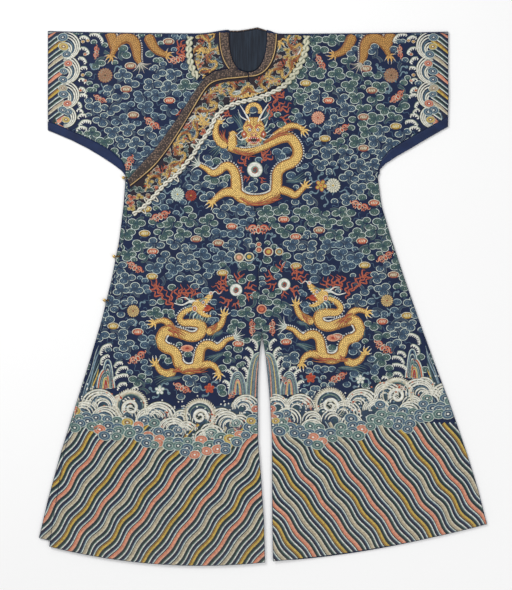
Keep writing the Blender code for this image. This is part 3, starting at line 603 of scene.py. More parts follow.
def wall_mesh(lower: Array, upper: Array, cells: Array | None = None) -> tuple[Array, Array]:
    """A closed sheet between two (rows, columns, 3) grids.

    Each kept cell has a face above and one below, and a rim wherever its neighbour is missing.

    Args:
        lower: the grid of the one face.
        upper: the grid of the other face.
        cells: (rows - 1, columns - 1) true where the sheet has cloth, or None for all.

    Returns:
        Points (n, 3) and quads (m, 4) that point outwards.
    """
    rows, columns = lower.shape[:2]
    kept = np.ones((rows - 1, columns - 1), bool) if cells is None else cells
    index = np.arange(rows * columns).reshape(rows, columns)
    a, b, c, d = index[:-1, :-1], index[:-1, 1:], index[1:, 1:], index[1:, :-1]
    up = rows * columns
    parts = [np.stack([a, b, c, d], -1)[kept] + up, np.stack([a, d, c, b], -1)[kept]]
    around = np.pad(kept, 1)
    for start, end, neighbour in (
        (a, b, around[:-2, 1:-1]), (b, c, around[1:-1, 2:]), (c, d, around[2:, 1:-1]),
        (d, a, around[1:-1, :-2]),
    ):
        rim = kept & ~neighbour
        s, e = start[rim], end[rim]
        parts.append(np.stack([s, e, e + up, s + up], -1))
    faces = np.concatenate(parts)
    points = np.concatenate([lower.reshape(-1, 3), upper.reshape(-1, 3)])
    used, faces = np.unique(faces, return_inverse=True)
    points, faces = points[used], faces.reshape(-1, 4)
    return outward(points, faces)


def tube_mesh(path: Array, half: Array | float, rise: Array | float, sides: int = 8,
              left: Array | Sequence | None = None,
              up: Array | Sequence = (0.0, 0.0, 1.0)) -> tuple[Array, Array]:
    """A closed tube of elliptical section along a path: centre + left * half * cos a + up * rise * sin a.

    Args:
        path: (n, 3) centres.
        half: the half width, a number or (n,).
        rise: the half height, a number or (n,).
        sides: points round a section.
        left: one direction or (n, 3), or None for the path's own left in plan.
        up: one direction or (n, 3).

    Returns:
        Points, the two that close the ends last, and quads that point outwards.
    """
    n = len(path)
    left = np.c_[normals_of(path[:, :2]), np.zeros(n)] if left is None else np.broadcast_to(left, path.shape)
    up = np.broadcast_to(up, path.shape)
    angle = (np.arange(sides) * 2 * math.pi / sides)[:, None]
    half, rise = (np.broadcast_to(size, n)[:, None, None] for size in (half, rise))
    ring = path[:, None] + left[:, None] * (half * np.cos(angle)) + up[:, None] * (rise * np.sin(angle))
    index = np.arange(n * sides).reshape(n, sides)
    before, after = np.roll(index, 1, axis=1), np.roll(index, -1, axis=1)
    faces = [np.stack([index[:-1], after[:-1], after[1:], index[1:]], -1).reshape(-1, 4)]
    for k in (0, 1):
        middle = np.full(sides // 2, n * sides + k)
        fan = np.c_[middle, after[-k, ::2], index[-k, ::2], before[-k, ::2]]
        faces.append(fan[:, ::1 - 2 * k])
    return outward(np.r_[ring.reshape(-1, 3), path[:1], path[-1:]], np.concatenate(faces))


def resampled(line: Array, count: int, smooth: bool = True) -> Array:
    """A line cut into even steps, along a Catmull-Rom curve through its points if smooth."""
    if smooth and len(line) > 2:
        ends = np.concatenate([line[:1], line, line[-1:]])
        t = np.linspace(0, 1, 16, endpoint=False)[:, None]
        p0, p1, p2, p3 = (ends[k:len(ends) - 3 + k, None, :] for k in range(4))
        fine = 0.5 * (2 * p1 + (p2 - p0) * t + (2 * p0 - 5 * p1 + 4 * p2 - p3) * t**2
                      + (3 * p1 - p0 - 3 * p2 + p3) * t**3)
        line = np.concatenate([fine.reshape(-1, line.shape[1]), line[-1:]])
    along = np.r_[0.0, np.cumsum(np.linalg.norm(np.diff(line, axis=0), axis=1))]
    steps = np.linspace(0, along[-1], count)
    return np.stack([np.interp(steps, along, line[:, k]) for k in range(line.shape[1])], axis=1)


def length_of(path: Array) -> float:
    """The length of a line of points."""
    return float(np.linalg.norm(np.diff(path, axis=0), axis=1).sum())


def normals_of(path: Array) -> Array:
    """Unit vectors to the left of a path, or of many paths (..., n, 2), by central differences."""
    run = np.gradient(path, axis=-2)
    run /= np.maximum(np.linalg.norm(run, axis=-1, keepdims=True), 1e-12)
    return np.stack([-run[..., 1], run[..., 0]], axis=-1)


def circle(angle: Array | float) -> Array:
    """Unit vectors (..., 2) at angles in radians."""
    return np.stack([np.cos(angle), np.sin(angle)], axis=-1)


def rays(degrees: Array | float) -> Array:
    """Unit vectors (..., 2) at angles in degrees."""
    return circle(np.radians(degrees))


def offset(path: Array, distance: float) -> Array:
    """A path moved to its left."""
    return path + normals_of(path) * distance


# ---------------------------------------------------------------- needlework

RIM = -0.06  # millimetres: a shape's rim goes this far into the cloth


def dye_array(names: str) -> Array:
    """The linear colours, as rows, of threads that are named in one string."""
    return np.array([Thread[name.upper()].rgb for name in names.split()])


def flat(names: str) -> Array:
    """Colours across a ribbon; a single one covers its whole width."""
    return dye_array(names)[None]


@dataclass
class Needlework:
    """Collects flat shapes in millimetres until they are laid on a panel as one piece."""

    name: str
    spots: list[Array] = field(default_factory=list)
    faces: list[Array] = field(default_factory=list)
    dyes: list[Array] = field(default_factory=list)
    grains: list[Array] = field(default_factory=list)
    count: int = 0

    def add(self, spots: Array, faces: Array, dyes: Array, grain: Array) -> None:
        """Adds points (n, 3: x, y and height), triangles (m, 3), colours (n, 3) and thread places (n, 2)."""
        self.spots.append(spots)
        self.faces.append(faces + self.count)
        self.dyes.append(dyes)
        self.grains.append(grain)
        self.count += len(spots)

    def ribbon(self, path: Array, half_width: Array | float, height: float, dyes: Array,
               across: Sequence[float] = (-1, 0, 1), lift: float = 0.0,
               crown: Sequence[float] | None = None) -> None:
        """Lays ribbons along paths: each point of a path gives a row of points across it.

        Args:
            path: (n, 2) or (batch, n, 2) millimetres.
            half_width: a number or an array that fits path's (batch, n).
            height: the crown's height above the cloth.
            dyes: (k, 3), (n, k, 3) or (batch, n, k, 3) colours across the ribbon.
            across: k places from -1, the right edge, to 1.
            lift: raises the whole ribbon, so that it lies over others.
            crown: k shares of the height; without it the edges are at the rim and the rest at the top.
        """
        path = path[None] if path.ndim == 2 else path
        across = np.array(across, float)
        crown = np.array(np.abs(across) <= 0.99 if crown is None else crown, float)
        batch, n, k = *path.shape[:2], len(across)
        side = np.broadcast_to(half_width, (batch, n))[..., None] * across
        plan = path[:, :, None] + normals_of(path)[:, :, None] * side[..., None]
        z = np.broadcast_to(np.where(crown <= 0, RIM, height * crown) + lift, (batch, n, k))
        along = np.cumsum(np.linalg.norm(np.diff(path, axis=1, prepend=path[:, :1]), axis=-1), axis=1)
        grain = np.stack(np.broadcast_arrays(along[..., None], side), axis=-1)
        quads = (grid_faces(n, k) + (np.arange(batch) * n * k)[:, None, None]).reshape(-1, 4)
        tris = np.concatenate([quads[:, [0, 2, 1]], quads[:, [0, 3, 2]]])
        spots, colour = np.concatenate([plan, z[..., None]], axis=-1), np.broadcast_to(dyes, (batch, n, k, 3))
        self.add(spots.reshape(-1, 3), tris, colour.reshape(-1, 3), grain.reshape(-1, 2))

    def discs(self, centres: Array, radii: Array, turns: Array, rings: Sequence[tuple[float, float]],
              dyes: Array, sides: int = 14, lobes: int = 0, depth: float = 0.0,
              lift: Array | float = 0.0) -> None:
        """Lays many round or lobed spots: rings of points about each centre, and a point in the middle.

        A ring's radius is its share * (1 + depth * cos(lobes * angle)) of the spot's two radii.

        Args:
            centres: (m, 2) millimetres.
            radii: (m, 2) along the spot's own two axes.
            turns: (m,) radians.
            rings: (share, height) from the rim inwards; the last one is the middle point.
            dyes: (rings, 3), (m, rings, 3) or (m, rings, sides, 3) colours.
            sides: points round each ring.
            lobes: petals round the spot.
            depth: how deep the petals are cut.
            lift: raises each spot, a number or (m,).
        """
        m, r = len(centres), len(rings)
        angle = np.arange(sides) * 2 * math.pi / sides
        petal = 1 + depth * np.cos(lobes * angle)
        share = np.array([s for s, _ in rings])
        local = share[:-1, None] * petal
        lx, ly = (np.append(local * wave(angle), 0.0) for wave in (np.cos, np.sin))
        rise = np.concatenate([np.repeat([h for _, h in rings[:-1]], sides), [rings[-1][1]]])
        x, y = lx * radii[:, :1], ly * radii[:, 1:]
        cos, sin = np.cos(turns)[:, None], np.sin(turns)[:, None]
        spots = np.stack([
            centres[:, :1] + x * cos - y * sin,
            centres[:, 1:] + x * sin + y * cos,
            rise + np.broadcast_to(np.asarray(lift, float).reshape(-1, 1), (m, 1)),
        ], axis=-1)
        dyes = np.asarray(dyes)
        if dyes.ndim < 4:
            dyes = np.broadcast_to(dyes if dyes.ndim == 3 else dyes[None], (m, r, 3))
            dyes = np.broadcast_to(dyes[:, :, None, :], (m, r, sides, 3))
        colour = np.concatenate([dyes[:, :-1].reshape(m, -1, 3), dyes[:, -1:, 0]], axis=1)
        index = np.arange((r - 1) * sides).reshape(r - 1, sides)
        after = np.roll(index, -1, axis=1)
        quads = np.stack([index[:-1], after[:-1], after[1:], index[1:]], -1).reshape(-1, 4)
        middle = np.stack([index[-1], after[-1], np.full(sides, (r - 1) * sides)], -1)
        tris = np.concatenate([quads[:, [0, 1, 2]], quads[:, [0, 2, 3]], middle])
        size = (r - 1) * sides + 1
        tris = (tris[None] + (np.arange(m) * size)[:, None, None]).reshape(-1, 3)
        grain = np.stack([x, y], axis=-1).reshape(-1, 2)
        self.add(spots.reshape(-1, 3), tris, colour.reshape(-1, 3), grain)

    def joined(self) -> tuple[Array, ...]:
        """All points, faces, colours and thread places so far."""
        return tuple(np.concatenate(rows) for rows in (self.spots, self.faces, self.dyes, self.grains))

    def lay(self, panel: Panel, finish: bpy.types.Material, slot: str = "navy_silk") -> None:
        """Cuts the shapes off at the panel's edges and lays them on it as one piece."""
        spots, faces, dyes, grain = self.joined()
        x, y = panel.clip(spots[:, 0] * MM, spots[:, 1] * MM)
        points = np.stack([x, y, panel.top(x, y) + spots[:, 2] * MM], axis=1)
        corner = points[faces][..., :2]
        one, two = corner[:, 1] - corner[:, 0], corner[:, 2] - corner[:, 0]
        area = one[:, 0] * two[:, 1] - one[:, 1] * two[:, 0]
        middle = points[faces].mean(axis=1)
        kept = (np.abs(area) > 2e-9) & ~panel.covered(middle[:, 0], middle[:, 1])
        faces = np.where((area < 0)[:, None], faces[:, ::-1], faces)[kept]
        used, faces = np.unique(faces, return_inverse=True)
        faces = faces.reshape(-1, 3)
        piece = make_object(self.name, points[used], faces, finish, dyes[used], grain[used])
        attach(piece, BODY)
        panel.sewn.append(piece)
        LOG.info("%s: %d triangles", self.name, len(faces))


# ---------------------------------------------------------------- the cloth itself

# Columns: x, y of the back's neck edge.
BACK_NECK = MM * np.array([(-88.4, 690), (-63.7, 690), (-39, 693.5), (-14.3, 698.5), (10.4, 690.5)])
UNDERARM_Y, SLOPE_Y = 0.302, 0.600
FREE_SIDE_X = -0.352
COLUMNS = 49
BESIDE_NECK = 6  # more columns of the back, between its centre and the side of the neck
BUTTONS_Y = (0.3075, 0.103, -0.011)


def rows(panel: Panel, ys: Array, shares: Array) -> tuple[Array, Array, Array]:
    """Heights of rows across a half, from the centre to the height y at its outline.

    A row starts at y - slant * r and bows down by 4 * sag * r * t * (1 - t), where r falls from 1 at the
    hem to 0 at the underarm.

    Returns:
        The rows' inner ends, all their points, and a share that grows to 1 at the shoulder.
    """
    first = panel.outline[0, 0]
    r = 1 - np.clip((ys - first) / (UNDERARM_Y - first), 0, 1)
    inner = ys - panel.slant * r
    y = ruled(inner, ys, shares) - 4 * panel.sag * r[:, None] * shares * (1 - shares)
    return inner, y, ease((inner - SLOPE_Y) / (SHOULDER_Y - SLOPE_Y))[:, None]


def laid_grid(panel: Panel, ys: Array, inset: float = 0.0) -> Array:
    """Points of a front in plan: rows from its centre edge, less an inset, to its outline."""
    shares = np.linspace(0, 1, COLUMNS)
    inner, y, near_top = rows(panel, ys, shares)
    x = ruled(neck_edge(inner, panel.side) + panel.side * inset, at(panel.outline, ys), shares)
    return np.dstack([x, y + (shoulder_y(x) - SHOULDER_Y) * near_top])


def folded_length(panel: Panel, inset: float) -> tuple[Array, Array]:
    """One half as a closed sheet that runs up the back, round the shoulder and down the front.

    Args:
        panel: the half's front.
        inset: how far the front stops short of the centre seam.

    Returns:
        Points and quads. Only the back has the columns beside the neck.
    """
    side, first = panel.side, panel.outline[0, 0]
    ys = np.r_[np.linspace(first, UNDERARM_Y, 46), np.linspace(UNDERARM_Y, SHOULDER_Y, 26)[1:]]
    shares = np.linspace(0, 1, COLUMNS)
    inner, y, near_top = rows(panel, ys, shares)
    centre = np.where(inner < NECK_Y - NECK_DEPTH, centre_edge(inner, side), NECK_X + side * SEAM_GAP / 2)
    centre = centre + side * BACK_INSET * ease((VENT_TOP[1] - inner) / 0.06)
    neck_x = np.where(ys >= SHOULDER_Y, NECK_X, centre) + side * NECK_HALF_WIDTH
    x = ruled(neck_x, at(panel.outline, ys), shares)
    beside = ruled(centre, neck_x, np.linspace(0, 1, BESIDE_NECK + 1)[:-1])
    beside_y = inner[:, None] + (at(BACK_NECK, beside) - SHOULDER_Y) * near_top
    back = np.dstack([np.c_[beside, x], np.c_[beside_y, y + (shoulder_y(x) - SHOULDER_Y) * near_top]])
    back[0, :, 1] += BACK_INSET

    fine = np.r_[np.linspace(first, UNDERARM_Y, 112), np.linspace(UNDERARM_Y, SHOULDER_Y, 56)[1:]]
    front = laid_grid(panel, fine[::-1], inset)
    front = np.concatenate([np.repeat(front[:, :1], BESIDE_NECK, axis=1), front], axis=1)
    under = panel.underside(front[..., 0], front[..., 1])
    middle, turns = WALL + LAYER_GAP / 2, np.linspace(-math.pi / 2, math.pi / 2, 9)[1:-1, None]
    grids = []
    for radius, rise in ((middle, 0.0), (LAYER_GAP / 2, WALL)):
        bend = np.repeat(back[-1:], len(turns), axis=0)
        bend[..., 1] += radius * np.cos(turns)
        height = np.broadcast_to(middle + radius * np.sin(turns), bend.shape[:2])
        grids.append(np.concatenate([
            np.dstack([back, np.full(back.shape[:2], rise)]),
            np.dstack([bend, height]), np.dstack([front, under + WALL - rise]),
        ]))
    cells = np.ones((len(grids[0]) - 1, COLUMNS + BESIDE_NECK - 1), bool)
    cells[len(ys) - 1:, :BESIDE_NECK] = False
    return wall_mesh(*grids, cells)


@dataclass
class Pieces:
    """Makes the pieces that stand for CAD nodes, each in the finish of its slot."""

    finishes: dict[str, bpy.types.Material]
    made: dict[str, bpy.types.Object] = field(default_factory=dict)

    def keep(self, node: str, slot: str, mesh: tuple[Array, Array], dyes: Array | None = None,
             grain: Array | None = None) -> None:
        """Makes a piece and files it under its node's name."""
        name = node.removesuffix("_front") if node == "overlap_front" else node
        piece = make_object(f"{name}_shell", *mesh, self.finishes[slot], dyes, grain)
        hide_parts(node)
        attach(piece, BODY)
        self.made[node] = piece
        LOG.info("%s: %d faces", piece.name, len(mesh[1]))


@dataclass
class Cloth(Pieces):
    """The robe's own pieces of silk: two lengths, the overlap, two gussets and the neck's lining."""

    def build(self) -> None:
        """Builds the shells in the order in which they lie."""
        for panel, inset in ((LEFT_PANEL, 0.0), (RIGHT_PANEL, UNDERLAP_INSET)):
            self.keep(f"{panel.name}_length", "navy_silk", folded_length(panel, inset))
        self.overlap()
        self.gusset(LEFT_PANEL, GUSSET_LEFT)
        self.gusset(RIGHT_PANEL, GUSSET_RIGHT)
        self.neck()

    def overlap(self) -> None:
        """The front that crosses over, from the centre seam to its free side and its cut edge."""
        skirt = laid_grid(OVERLAP_PANEL, np.linspace(OVERLAP_OUTLINE[0, 0], UNDERARM_Y, 112))
        share = np.linspace(0, 1, 34)[1:]
        edge = np.r_[[(UNDERARM_Y, FREE_SIDE_X)], OVERLAP_CUT]
        outer = np.c_[tuple(np.interp(share, np.linspace(0, 1, len(edge)), edge[:, k]) for k in (1, 0))]
        inner_y = UNDERARM_Y + (OVERLAP_TOP_Y - UNDERARM_Y) * share
        chest = ruled(np.c_[centre_edge(inner_y, RIGHT), inner_y], outer, np.linspace(0, 1, COLUMNS))
        plan = np.concatenate([skirt, chest])
        self.keep("overlap_front", "navy_silk", slab(plan, second_front(plan[..., 0], plan[..., 1]), WALL))

    def gusset(self, panel: Panel, far: Array) -> None:
        """The plain strip below a sleeve: one piece, folded along the sleeve's lower outline."""
        outline = panel.outline[panel.outline[:, 0] >= UNDERARM_Y]
        outline = outline[:1 + np.argmax(np.abs(outline[:, 1]) >= abs(far[-1, 0]) - 1e-4)]
        low = far[0, 1]
        sewn = np.r_[[(at(outline, low), low)], outline[outline[:, 0] > low, ::-1]]
        near = resampled(sewn, 60, smooth=False) + np.array([panel.side * SEAM_GAP, -SEAM_GAP])
        run = resampled(far, 60, smooth=False) - near
        length = np.linalg.norm(run, axis=1)[:, None]
        run, length = run / length, np.maximum(length, 0.0038)
        turns = np.arange(-270, 271, 45)
        angle, share = np.radians(np.clip(turns, -90, 90)), np.minimum(1, 1.5 - np.abs(turns) / 180)
        middle = WALL + LAYER_GAP / 2
        grids = []
        for radius in (middle, LAYER_GAP / 2):
            reach = share * (length - middle + radius * np.cos(angle))
            height = np.broadcast_to(middle + radius * np.sin(angle), reach.shape)
            grids.append(np.dstack([near[:, None] + run[:, None] * reach[..., None], height]))
        self.keep(f"{panel.name}_gusset", "plain_silk", wall_mesh(*grids))

    def neck(self) -> None:
        """The lining of the back inside the neck, and the binding of the back's neck edge."""
        clear, binding = 0.0014, 0.0036
        share = np.linspace(0, 1, 57)
        angle = math.pi / 2 * (1 - np.abs(1 - 2 * share))
        low = neck_curve(angle, np.where(share > 0.5, LEFT, RIGHT), -clear, -clear)
        edge_y = at(BACK_NECK, low[:, 0])
        low[:, 1] = np.minimum(low[:, 1], edge_y - 2 * binding)
        plan = ruled(np.c_[low[:, 0], edge_y - binding - 3 * SEAM_GAP], low, np.linspace(0, 1, 24))
        ripple = 0.00008 * np.sin(plan[..., 0] * 900) ** 2
        self.keep("neck_lining", "lining", slab(plan, WALL + TRIM_GAP, 0.001 + ripple))
        xs = NECK_X + (NECK_HALF_WIDTH - clear) * np.linspace(-1, 1, 60)
        downs = (SEAM_GAP, binding / 2, binding)
        plan = np.stack([np.c_[xs, at(BACK_NECK, xs) - down] for down in downs], axis=1)
        thickness = np.array([0.0009, 0.0013, 0.0009])
        self.keep("back_neck_binding", "brocade", slab(plan, WALL + TRIM_GAP, thickness))


def band_edge(side: int, last: float, count: int, more_side: float, more_front: float) -> Array:
    """An edge of a band round the neck, from just short of the shoulder to the angle last."""
    edge = neck_curve(np.linspace(0, last, count), side, more_side, more_front)
    edge[:, 1] = np.minimum(edge[:, 1], shoulder_y(edge[:, 0]) - SHOULDER_CLEAR)
    return edge


def cord_looks(sections: Array, half_mm: float, along: Array) -> tuple[Array, Array]:
    """Colours and thread places of a cord's sections (n, 8, 3) and of the two points at its ends."""
    across = half_mm * np.cos(np.arange(8) * math.pi / 4)
    grain = np.stack(np.broadcast_arrays(across, along[:, None]), axis=-1).reshape(-1, 2)
    return np.r_[sections.reshape(-1, 3), sections[0, :2]], np.r_[grain, np.zeros((2, 2))]


@dataclass
class Trims(Pieces):
    """What is sewn on round the neck and along the cut edge, and what closes the overlap."""

    def strip(self, node: str, slot: str, panel: Panel, start: Array, end: Array) -> None:
        """A flat piece between two edges, laid on the panel and rounded down along both edges."""
        columns, thickness = (9, BAND_SILK) if slot == "brocade" else (18, COLLAR_SILK)
        t = np.linspace(0, 1, columns)
        plan = ruled(start, end, t)
        width = np.linalg.norm(end - start, axis=1)[:, None]
        roll = 1 - ease(np.minimum(t, 1 - t) * width / 0.0016)
        ground = panel.top(plan[..., 0], plan[..., 1]) + TRIM_GAP
        self.keep(node, slot, slab(plan, ground, thickness * (1 - 0.45 * roll)))

    def piping(self, node: str, line: Array, panel: Panel) -> None:
        """A round cord whose underside rests on a band."""
        path, radius = resampled(line, 160), 0.0013
        z = panel.top(path[:, 0], path[:, 1]) + BAND_SILK + 2 * TRIM_GAP + radius
        self.keep(node, "gold_cord", tube_mesh(np.c_[path, z], radius, radius))

    def twisted(self, node: str, line: Array, panel: Panel, loops: bool) -> None:
        """The white border: two flattened strands, each a helix about the border's line.

        A strand's centre is at offset 3.3 mm * cos(w) to the side and 0.7 mm * sin(w) up.
        """
        path = resampled(line, int(length_of(line) / 0.0016))
        travelled = np.linspace(0, length_of(line), len(path))
        left = normals_of(path)
        wide = np.interp(path[:, 1], (0.530, 0.562), (1.0, 1.5))
        path = path + left * ((1 if loops else -1) * 0.0068 * (wide - 1))[:, None]
        ground = panel.top(path[:, 0], path[:, 1]) + TRIM_GAP
        # Round each strand: pale on top, grey-green to dark on the sides and underneath; partly the border's
        # own grey-green threads, partly painted shade that rounds the strand. The wide part near the shoulder
        # is greener.
        cord, section = Needlework(node), dye_array("moss stone pearl cream moss moss moss moss")
        green = dye_array("pine leaf cream leaf pine moss moss moss")
        sections = section + (green - section) * (2 * (wide - 1))[:, None, None]
        for turn in (0.0, math.pi):
            w = 2 * math.pi * travelled / 0.032 + turn
            plan = path + left * (0.0033 * wide * np.cos(w))[:, None]
            half = (0.0034 + 0.0003 * np.sin(w)) * wide
            centre = np.c_[plan, ground + 0.0018 + 0.0007 * np.sin(w)]
            tube = tube_mesh(centre, half, 0.0013, left=np.c_[left, np.zeros(len(path))])
            cord.add(*tube, *cord_looks(sections, 3.4, travelled / MM))
        ring = np.linspace(-1, 1, 25)[:, None]
        for share in (0.30, 0.335, 0.47, 0.50, 0.62, 0.645, 0.76, 0.785, 0.90, 0.925, 0.96) if loops else ():
            k = int(share * (len(path) - 1))
            out = -left[k] if k % 2 else left[k]
            arch = path[k] + out[::-1] * (1, -1) * ring * 0.006 + out * 0.017 * (1 - np.abs(ring) ** 1.6)
            z = panel.top(arch[:, 0], arch[:, 1]) + 0.0016
            looks = cord_looks(np.tile(section, (25, 1, 1)), 1.6, ring[:, 0] * 12)
            cord.add(*tube_mesh(np.c_[arch, z], 0.0016, 0.0009), *looks)
        points, faces, *looks = cord.joined()
        self.keep(node, "white_cord", (points, faces), *looks)

    def build(self) -> None:
        """Builds the bands, the collar's three parts, the piping, the borders and the buttons."""
        border = offset(resampled(BORDER_LINE, 400), -0.0073)
        from_seam = border[:, 0] - seam_x(border[:, 1])
        end_y, quarter = 0.590 + 2 * SEAM_GAP, math.pi / 2 - 0.02
        for panel, count, first, last in (
            (LEFT_PANEL, 60, quarter, quarter),
            (RIGHT_PANEL, 50, neck_angle(end_y, TRIM_GAP), neck_angle(end_y, BAND_FRONT)),
        ):
            inner = band_edge(panel.side, first, count, TRIM_GAP, TRIM_GAP)
            middle = band_edge(panel.side, last, count, BAND_SIDE, BAND_FRONT)
            sewn = band_edge(panel.side, last, count, BAND_SIDE + SEAM_GAP, BAND_FRONT + SEAM_GAP)
            self.strip(f"neck_band_{panel.name}", "brocade", panel, inner, middle)
            if panel is LEFT_PANEL:
                outer = resampled(border[from_seam > 2 * SEAM_GAP], count, smooth=False)
                self.strip("collar_left", "collar_silk", panel, sewn, outer)
            else:
                self.right_collar(sewn)
            self.piping(f"neck_piping_{panel.name}", middle, panel)
        self.twisted("border_right", BORDER_RIGHT_LINE, RIGHT_PANEL, loops=False)

        cut = np.r_[[(-0.0388, OVERLAP_TOP_Y)], OVERLAP_CUT[::-1, ::-1], [(FREE_SIDE_X, UNDERARM_Y)]]
        free, joint = resampled(offset(cut, 0.0008), 120, smooth=False), resampled(PIPING_LINE, 120)
        self.strip("overlap_band", "brocade", OVERLAP_PANEL, free, joint)
        outer = resampled(border[from_seam < -2 * SEAM_GAP], 120, smooth=False)
        self.strip("collar_overlap", "collar_silk", OVERLAP_PANEL, offset(joint, SEAM_GAP), outer)
        self.piping("overlap_piping", PIPING_LINE, OVERLAP_PANEL)
        self.twisted("border_front", BORDER_LINE, BODY_PANEL, loops=True)
        for number, y in enumerate(BUTTONS_Y, start=1):
            self.button(number, y)

    def right_collar(self, sewn: Array) -> None:
        """The collar silk on the right shoulder, cut along the overlap's edge."""
        count, columns = len(sewn), 40
        outer = resampled(offset(resampled(BORDER_RIGHT_LINE, 200), 0.0073), count, smooth=False)
        cut = offset(OVERLAP_CUT[::-1, ::-1], -0.0024)
        cut = cut[(cut[:, 0] < sewn[-1, 0]) & (cut[:, 0] > outer[-1, 0])]
        low = resampled(np.r_[sewn[-1:], cut, outer[-1:]], columns, smooth=False)
        plan = ruled(sewn, outer, np.linspace(0, 1, columns))
        plan[..., 1] += (low[:, 1] - plan[-1, :, 1]) * np.linspace(0, 1, count)[:, None]
        ground = RIGHT_PANEL.top(plan[..., 0], plan[..., 1]) + TRIM_GAP
        self.keep("collar_right", "collar_silk", slab(plan, ground, COLLAR_SILK))

    def button(self, number: int, y: float) -> None:
        """A gilt ball on its shank beside the right edge, and the overlap's loop round the shank."""
        edge = float(at(RIGHT_OUTLINE, y))
        ground = float(first_front(np.array(edge), np.array(y))) + WALL + TRIM_GAP
        ball, shank, loop = 0.0042, 0.0009, 0.0008
        centre = edge - ball - 0.001
        end = float(at(OVERLAP_OUTLINE, y)) - 2 * SEAM_GAP
        angle = np.linspace(math.pi, math.asin(shank / ball), 18)
        along = np.r_[ball * np.cos(angle), end - centre]
        radius = np.r_[np.maximum(ball * np.sin(angle), 0.0003), shank]
        path = np.array([(centre + x, y, ground + shank) for x in along])
        self.keep(f"button_{number}", "gilt_brass", tube_mesh(path, radius, radius, 24, left=(0.0, 1.0, 0.0)))
        spread, low, turn = shank + loop + TRIM_GAP, ground + loop, np.linspace(0, math.pi, 17)
        arch = np.c_[np.full(17, edge + 0.0022), y + spread * np.cos(turn), low + spread * np.sin(turn)]
        ends = [(at(OVERLAP_OUTLINE, end_y) - 2 * SEAM_GAP, end_y, low) for end_y in (y + spread, y - spread)]
        path = np.r_[ends[:1], arch, ends[1:]]
        run = np.gradient(path, axis=0)
        run /= np.linalg.norm(run, axis=1)[:, None]
        left = np.cross(run, (1.0, 0.2, 0.1))
        left /= np.linalg.norm(left, axis=1)[:, None]
        tube = tube_mesh(path, loop, loop, left=left, up=np.cross(run, left))
        self.keep(f"button_loop_{number}", "loop_cord", tube)


# ---------------------------------------------------------------- needlework, field by field

# Three shades of each stripe, after a deep line along its edge.
PINK, GREEN, NAVY = "salmon coral pink", "pine green pearl", "deep blue pale"
STRIPES = (PINK, GREEN, NAVY, "stone oat cream", GREEN, NAVY, "ochre yellow yellow", GREEN, NAVY)
STRIPE_ACROSS = np.array((-1.0, -0.66, -0.58, 0.06, 0.16, 0.48, 0.58, 1.0))
STRIPE_CROWN = (0.0, 0.4, 0.6, 1.0, 1.0, 0.95, 0.9, 0.0)


def stripe_dyes(number: int) -> Array:
    """Colours across one stripe: a dark line, then shades from dark to pale, each a flat band."""
    return dye_array("deep " + STRIPES[number % len(STRIPES)]).repeat(2, axis=0)


@dataclass
class Stripes:
    """The standing water at the hem: wavy bands that lean outwards as they go down."""

    finish: bpy.types.Material
    top: float = -330.0
    pitch: float = 14.2
    lean: float = math.radians(53)
    wave: float = 95.0
    sway: float = 2.9

    def build(self, panel: Panel, low_x: float, high_x: float) -> None:
        """Lays the stripes along the hem, each swaying by sway * sin(2 pi d / wave), bends side by side."""
        work, side, sine = Needlework(f"{panel.name} hem stripes"), panel.side, math.sin(self.lean)
        down = np.array([side * math.cos(self.lean), -sine])
        d = np.arange(0, (self.top + 760) / sine, 5.2)
        shift = (self.top + 700) / math.tan(self.lean)
        start, stop = (low_x - shift, high_x) if side == LEFT else (low_x, high_x + shift)
        places = np.arange(round(start / self.pitch), round(stop / self.pitch) + 1)
        along = d + places[:, None] * side * 10.7
        uneven = 1 + 0.3 * np.sin(along / 71) + 0.25 * np.sin(places[:, None] * 0.37)
        sway = self.sway * uneven * np.sin(2 * math.pi * along / self.wave)
        base = np.c_[places * self.pitch, np.full(len(places), self.top)]
        paths = base[:, None] + d[:, None] * down + sway[..., None] * (-down[1], down[0])
        # The colours fade by up to 6 % towards stone lower down the hem.
        fade_to_stone = 0.06 * np.clip((-480 - self.top + d * sine) / 220, 0, 1)[:, None, None]
        for k in range(len(STRIPES)):
            dyes = stripe_dyes(k) * (1 - fade_to_stone) + Thread.STONE.rgb * fade_to_stone
            mine = paths[places % len(STRIPES) == k]
            work.ribbon(mine, self.pitch * sine / 2 + 0.15, 0.75, dyes, STRIPE_ACROSS, crown=STRIPE_CROWN)
        work.lay(panel, self.finish)


# Kinds of lobes: outline, filling, heart and curl.
LOBES = np.stack([dye_array(names) for names in (
    "foam ink haze mist", "foam teal fern leaf", "mist ink haze sky",
    "cream brick tan cream", "cream ochre yellow cream", "cream brick flame pink",
)])


